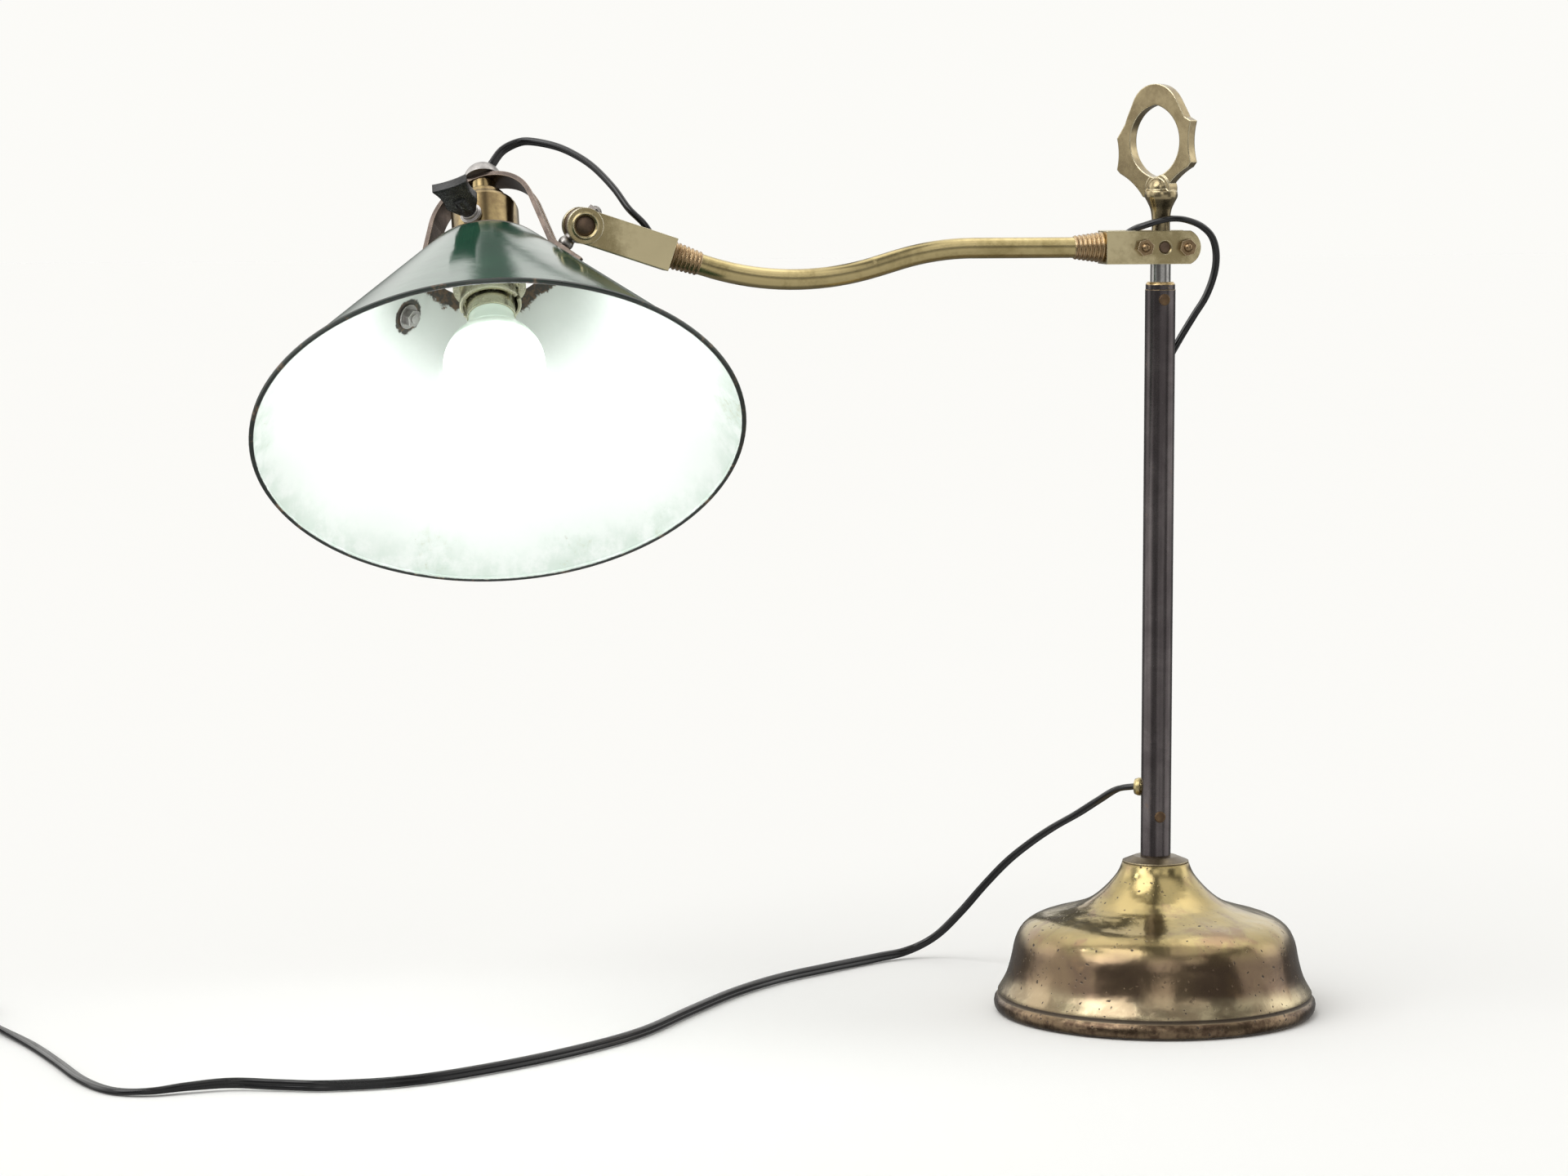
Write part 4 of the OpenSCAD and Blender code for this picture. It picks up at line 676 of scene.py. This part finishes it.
def shadeEnamel(name, d):
    material, w, place = startMaterial(name)
    # h is the height over the shade's top edge, r the distance from its axis, depth how far outside the cone
    up = tuple(headFrame["up"])
    fromTop = place.vector("SUBTRACT", tuple(headFrame["origin"]))
    h = fromTop.dot(up)
    across = fromTop.vector("CROSS_PRODUCT", up)
    r = across.node("VectorMath", {"operation": "LENGTH"}, {0: across}, 1)
    depth = r - (d["topRadius"] - h * d["slope"])
    outside = depth.band(-0.75 * d["wall"], -0.4 * d["wall"])
    cloud = place.noise(22, 5, 0.6, 0.5)
    mottle = place.noise(95, 6, 0.66)
    fine = place.noise(420, 5, 0.65)
    # outside
    green = (cloud * 0.6 + mottle * 0.4).band(0.36, 0.66).tint(d["green"], d["deepGreen"])
    top = (h + (mottle - 0.5) * 0.0035 + (fine - 0.5) * 0.0015).band(-0.0022, -0.0014)
    green = top.tint(green, (fine.band(0.44, 0.58)).tint(d["chip"], d["rust"]))
    # inside
    low = (h * -1 + (mottle - 0.5) * 0.012 + (cloud - 0.5) * 0.03).band(0.084, 0.103)
    white = (low * mottle.band(0.30, 0.60) * 0.8).tint(d["white"], d["mint"])
    streaks = (cloud * 0.45 + fine * 0.3 + mottle * 0.25).band(0.55, 0.64) * low
    white = (streaks * 0.5).tint(white, d["straw"])
    white = (fine.band(0.69, 0.74) * low * 0.7).tint(white, d["rust"])
    # painted shade: a grey-green band inside the shade near its neck, where the bulb's light falls short
    neckShade = (h + (mottle - 0.5) * 0.010 + (cloud - 0.5) * 0.024).band(-0.033, -0.012)
    white = (neckShade * 0.25).tint(white, d["neckShade"])
    neck = (h + (mottle - 0.5) * 0.012 + (fine - 0.5) * 0.003).band(-0.0068, -0.0056)
    bolts = None
    for side in (-1, 1):
        at = inHead((side * d["bolt"][0], *d["bolt"][1:]))
        away = place.node("VectorMath", {"operation": "DISTANCE"}, {0: place, 1: tuple(at)}, 1)
        spot = (away + (mottle - 0.5) * 0.006 + (fine - 0.5) * 0.003).band(0.0088, 0.0078)
        bolts = spot if bolts is None else bolts.most(spot)
    chipped = neck.most(bolts)
    white = chipped.tint(white, fine.band(0.46, 0.60).tint(d["chip"], d["rust"]))
    colour = outside.tint(white, green)
    rim = h + (fine - 0.5) * 0.0005 + (mottle - 0.5) * 0.0006
    rim = rim.band(d["mouth"] + 0.0002, d["mouth"] - 0.0002)
    bead = depth.band(-0.0005, -0.0002) * h.band(d["mouth"] + 0.0018, d["mouth"] + 0.0012)
    rim = rim.most(bead)
    edge = (mottle * 0.6 + fine * 0.4).band(0.54, 0.62).tint(d["rim"], d["rust"])
    colour = rim.tint(colour, edge)
    bare = top * outside + chipped * (1 - outside) + rim * 0.4
    rough = d["shine"] + mottle * 0.05 + bare * 0.42 + low * (1 - outside) * 0.12
    height = place.noise(48, 2, 0.4) * 0.8 + place.noise(160, 2, 0.5) * 0.25 - bare * 0.35 * (0.5 + fine)
    surface(w, baseColor=colour, roughness=rough, normal=height.bump(d["depth"]), ior=d["ior"])
    return material


# Lit lamp: opal glass that glows a cool white and fades out towards the cap; its neck is painted a darker
# grey-green as shade
lampSet = {
    "glow": (0.93, 1.0, 0.98), "dim": (0.016, 0.020, 0.018), "strength": 16.0, "neck": -0.047, "full": -0.067,
    "stem": (0.42, 0.46, 0.38), "milk": [(0.88, 0.90, 0.88), (0.94, 0.95, 0.93)], "depth": 0.0001,
}


def opalGlass(name, d):
    material, w, place = startMaterial(name)
    h = place.vector("SUBTRACT", tuple(headFrame["origin"])).dot(tuple(headFrame["up"]))
    swirl = place.noise(70, 3, 0.5)
    lit = (h + (swirl - 0.5) * 0.004).band(d["neck"], d["full"])
    lit = lit * lit
    # the neck's darker grey-green is painted shade
    colour = lit.tint(d["stem"], swirl.band(0.3, 0.7).tint(*d["milk"]))
    surface(
        w, baseColor=colour, roughness=0.14 + swirl * 0.08, normal=swirl.bump(d["depth"]),
        emissionColor=lit.tint(d["dim"], d["glow"]), emissionStrength=d["strength"],
    )
    return material


def mouldedPiece(name, d):
    # hard moulding or glazed ware: faint speckle, dusty hollows, paler rubbed edges, a fine orange-peel skin
    material, w, place = startMaterial(name)
    cloud = place.noise(d["cloud"], 5, 0.6)
    grain = place.noise(d["grain"], 3, 0.6)
    dust = (cloud * 0.6 + grain * 0.4).band(0.50, 0.68)
    eased, turned = roundEdge(w, d["edge"])
    colour = (dust * 0.55).tint(d["base"], d["dust"])
    colour = (turned * cloud.band(0.4, 0.6) * 0.6).tint(colour, d["rubbed"])
    rough = d["rough"] + grain * 0.16 + dust * 0.1
    skin = (grain * 0.6 + cloud * 0.4).bump(d["depth"], eased)
    surface(w, baseColor=colour, roughness=rough, normal=skin, ior=1.5)
    return material


# Black mouldings and the white ware of the lampholder
mouldings = {
    "keyBlack": {
        "base": (0.010, 0.010, 0.011), "dust": (0.024, 0.024, 0.025), "rubbed": (0.05, 0.05, 0.05),
        "cloud": 90, "grain": 900, "edge": 0.0014, "rough": 0.20, "depth": 0.00006,
    },
    "plugBlack": {
        "base": (0.016, 0.016, 0.017), "dust": (0.04, 0.04, 0.04), "rubbed": (0.07, 0.07, 0.07),
        "cloud": 80, "grain": 2200, "edge": 0.0008, "rough": 0.40, "depth": 0.00006,
    },
    "tieBlack": {
        "base": (0.020, 0.020, 0.021), "dust": (0.05, 0.05, 0.05), "rubbed": (0.08, 0.08, 0.08),
        "cloud": 100, "grain": 1800, "edge": 0.0004, "rough": 0.46, "depth": 0.00005,
    },
    "porcelain": {
        "base": (0.72, 0.70, 0.65), "dust": (0.46, 0.41, 0.33), "rubbed": (0.80, 0.78, 0.74),
        "cloud": 110, "grain": 900, "edge": 0.0004, "rough": 0.16, "depth": 0.00003,
    },
}

# Cord sheath: black and slightly glossy, faint rings and a dusty lay along its run
sheathSet = {"base": (0.006, 0.006, 0.007), "dust": (0.013, 0.013, 0.014), "rough": 0.14, "depth": 0.00002}


def cordSheath(name, d):
    material, w, place = startMaterial(name)
    run = w.node("UVMap", {"uv_map": "run"})
    rings = run.stretched(3, 700, 0).noise(1.0, 2, 0.5)
    smears = run.stretched(2, 55, 0).noise(1.0, 5, 0.65)
    skin = place.noise(2600, 2, 0.5)
    dust = (smears * 0.7 + skin * 0.3).band(0.48, 0.66)
    colour = (dust * 0.6).tint(d["base"], d["dust"])
    rough = d["rough"] + dust * 0.14 + skin * 0.08
    surface(w, baseColor=colour, roughness=rough, normal=(rings * 0.5 + skin * 0.3).bump(d["depth"]), ior=1.5)
    return material


# Felt: matted green wool with lighter fibres lying every way
woolSet = {
    "base": (0.030, 0.060, 0.038), "fibre": (0.085, 0.125, 0.085), "dirt": (0.05, 0.045, 0.035),
    "rough": 0.88, "depth": 0.0003, "sheen": 0.4,
}


def mattedWool(name, d):
    material, w, place = startMaterial(name)
    mat = place.noise(1500, 4, 0.75, 2.5)
    fibre = place.stretched(1, 3, 1).noise(900, 3, 0.7, 3.0)
    cloud = place.noise(45, 4, 0.6)
    colour = fibre.band(0.46, 0.60).tint(d["base"], d["fibre"])
    colour = (cloud.band(0.48, 0.66) * 0.6).tint(colour, d["dirt"])
    skin = (mat * 0.6 + fibre * 0.6).bump(d["depth"])
    surface(w, baseColor=colour, roughness=d["rough"] + mat * 0.1, normal=skin, sheenWeight=d["sheen"])
    return material


finishes.update({name: mouldedPiece(name, d) for name, d in mouldings.items()})
finishes["bellBrass"] = bellBrass("bellBrass", bellSet)
finishes["postPatina"] = postPatina("postPatina", postSet)
finishes["shadeEnamel"] = shadeEnamel("shadeEnamel", shadeSet)
finishes["opalGlass"] = opalGlass("opalGlass", lampSet)
finishes["cordSheath"] = cordSheath("cordSheath", sheathSet)
finishes["mattedWool"] = mattedWool("mattedWool", woolSet)

# Which finish each CAD node wears
wears = {
    "bellBrass": ["base_shell"],
    "postPatina": ["post_tube", "post_bush"],
    "shadeEnamel": ["shade"],
    "opalGlass": ["lamp_glass"],
    "collarBrass": ["base_collar", "post_spigot"],
    "contactBrass": ["contact_plungers"],
    "rivetBronze": ["post_rivets"],
    "plateIron": ["base_plate", "ballast_weight"],
    "boltSteel": ["plate_screws", "tie_stud", "tie_washer", "tie_nut", "stud_nut", "ball_stud"],
    "rodSteel": ["neck_rod"],
    "ringBrass": ["ring_handle"],
    "ballBronze": ["pivot_ball", "head_ball_joint"],
    "forkBrass": ["rear_fork", "front_fork"],
    "nutBronze": ["fork_bolts", "fork_nuts"],
    "ferruleBrass": ["rear_ferrule", "front_ferrule"],
    "armBrass": ["arm_tube", "cord_grommet"],
    "strapBronze": ["yoke"],
    "domeNickel": ["dome_nut", "switch_bush", "key_shaft", "yoke_bolts", "yoke_washers", "yoke_nuts"],
    "socketBrass": ["socket_nipple", "socket_cap"],
    "holderBrass": ["socket_barrel", "barrel_ring", "lamp_cap"],
    "porcelain": ["socket_insulator"],
    "keyBlack": ["switch_key"],
    "plugBlack": ["plug_sleeve", "plug_body"],
    "pinNickel": ["plug_pins"],
    "tieBlack": ["coil_tie"],
}


def dress(obj, material):
    obj.data.materials.clear()
    obj.data.materials.append(material)


for finish, names in wears.items():
    for name in names:
        dress(nodes[name], finishes[finish])
for piece in cords:
    dress(piece, finishes["cordSheath"])
dress(felt, finishes["mattedWool"])
print("dressed:", sum(len(names) for names in wears.values()), "nodes,", len(cords) + 1, "new pieces")

# Pale studio: a level floor that ends in a white surround, and one wide soft sun from the upper left.
# Polished surfaces mirror a dim room with soft panels, each given as its heading in degrees from the viewer
# (left is negative), half its width, its lowest and highest upward part of the direction, and its level.
# The gap is a thin dark upright that parts the panel behind the object, and gapDark how far it darkens the
# room and the panels
studio = {
    "background": (0.972, 0.965, 0.935),
    "ambient": 0.66,
    "sun": 1.5,
    "sunFrom": (-0.80, -0.40, 0.95),
    "sunSpread": 50.0,
    "toViewer": (-0.208, -0.978),
    "dim": 0.215,
    "panels": [
        (-86, 32, -0.35, 0.55, 1.12), (92, 24, -0.35, 0.55, 1.02), (20, 24, -0.45, 0.06, 0.72),
        (180, 80, 0.13, 1.2, 1.35), (90, 40, 0.74, 1.2, 1.25), (-90, 40, 0.74, 1.2, 0.95),
        (0, 89, -1.2, -0.45, 0.65), (1, 8, 0.22, 0.66, 1.7), (-50, 11, 0.34, 0.66, 1.5),
        (28, 9, 0.53, 0.60, 3.0),
    ],
    "soft": 0.12,
    "gap": (0.99, -0.13),
    "gapDark": (0.5, 0.95),
    "floorHalf": 12.0,
    "floorDrop": 0.0003,
}


def panelMask(way, z, d, heading, half, low, high):
    # soft rectangle of directions round a level heading
    a = np.radians(heading)
    x, y = d["toViewer"]
    ahead = (x * np.cos(a) - y * np.sin(a), y * np.cos(a) + x * np.sin(a), 0.0)
    across = way.dot((-ahead[1], ahead[0], 0.0))
    edge, soft = np.sin(np.radians(half)), d["soft"]
    wide = across.size().band(edge + soft / 2, edge - soft / 2) * way.dot(ahead).band(0.05, 0.17)
    return wide * z.band(low - soft, low + soft) * z.band(high + soft, high - soft)


def makeStudio(d):
    white = np.array(d["background"])
    sunFrom = np.array(d["sunFrom"])
    # the floor's tone is the background divided by the light that falls on open floor
    tone = white / (d["ambient"] * white + d["sun"] * unit(sunFrom)[2] / np.pi)
    half, drop = d["floorHalf"], d["floorDrop"]
    corner = np.array([[-1, -1, 0], [1, -1, 0], [1, 1, 0], [-1, 1, 0]], float) * half - (0, 0, drop)
    mesh = bpy.data.meshes.new("floor")
    mesh.from_pydata(corner, [], [[0, 1, 2, 3]])
    floor = bpy.data.objects.new("floor", mesh)
    scene.collection.objects.link(floor)
    floor.visible_glossy = False
    material, w, place = startMaterial("floorPaper")
    paper = place.noise(3.0, 2).tint(tuple(tone), tuple(tone * 0.996))
    surface(w, baseColor=paper, roughness=1.0, specular=0.0)
    dress(floor, material)
    data = bpy.data.lights.new("sun", "SUN")
    data.energy = d["sun"]
    data.angle = np.radians(d["sunSpread"])
    sun = bpy.data.objects.new("sun", data)
    sun.rotation_mode = "QUATERNION"
    sun.rotation_quaternion = Vector(d["sunFrom"]).to_track_quat("Z", "Y")
    scene.collection.objects.link(sun)
    world = bpy.data.worlds.new("surround")
    scene.world = world
    world.use_nodes = True
    world.node_tree.nodes.clear()
    w = Wire(world.node_tree)
    way = w.node("TexCoord", out="Generated")
    z = way.axis(2)
    across = way.dot((*d["gap"], 0.0))
    gap = across.size().band(0.05, 0.02) * way.dot((0.0, 1.0, 0.0)).band(0.5, 0.7)
    roomDark, panelDark = d["gapDark"]
    level = d["dim"] * (1 - gap * roomDark)
    for heading, half, low, high, bright in d["panels"]:
        mask = panelMask(way, z, d, heading, half, low, high)
        level = level + mask * (bright - d["dim"]) * (1 - gap * panelDark)
    mirror = level.node("VectorMath", {"operation": "SCALE"}, {0: tuple(white), "Scale": level})
    rays = ("Camera", "Glossy", "Transmission")
    seen, glossy, through = (w.node("LightPath", out=f"Is {ray} Ray") for ray in rays)
    colour = glossy.most(through).tint(tuple(d["ambient"] * white), mirror)
    colour = seen.tint(colour, tuple(white))
    sky = w.node("Background", {}, {"Color": colour, "Strength": 1.0})
    w.node("OutputWorld", {}, {"Surface": sky})


makeStudio(studio)
print("studio lit")
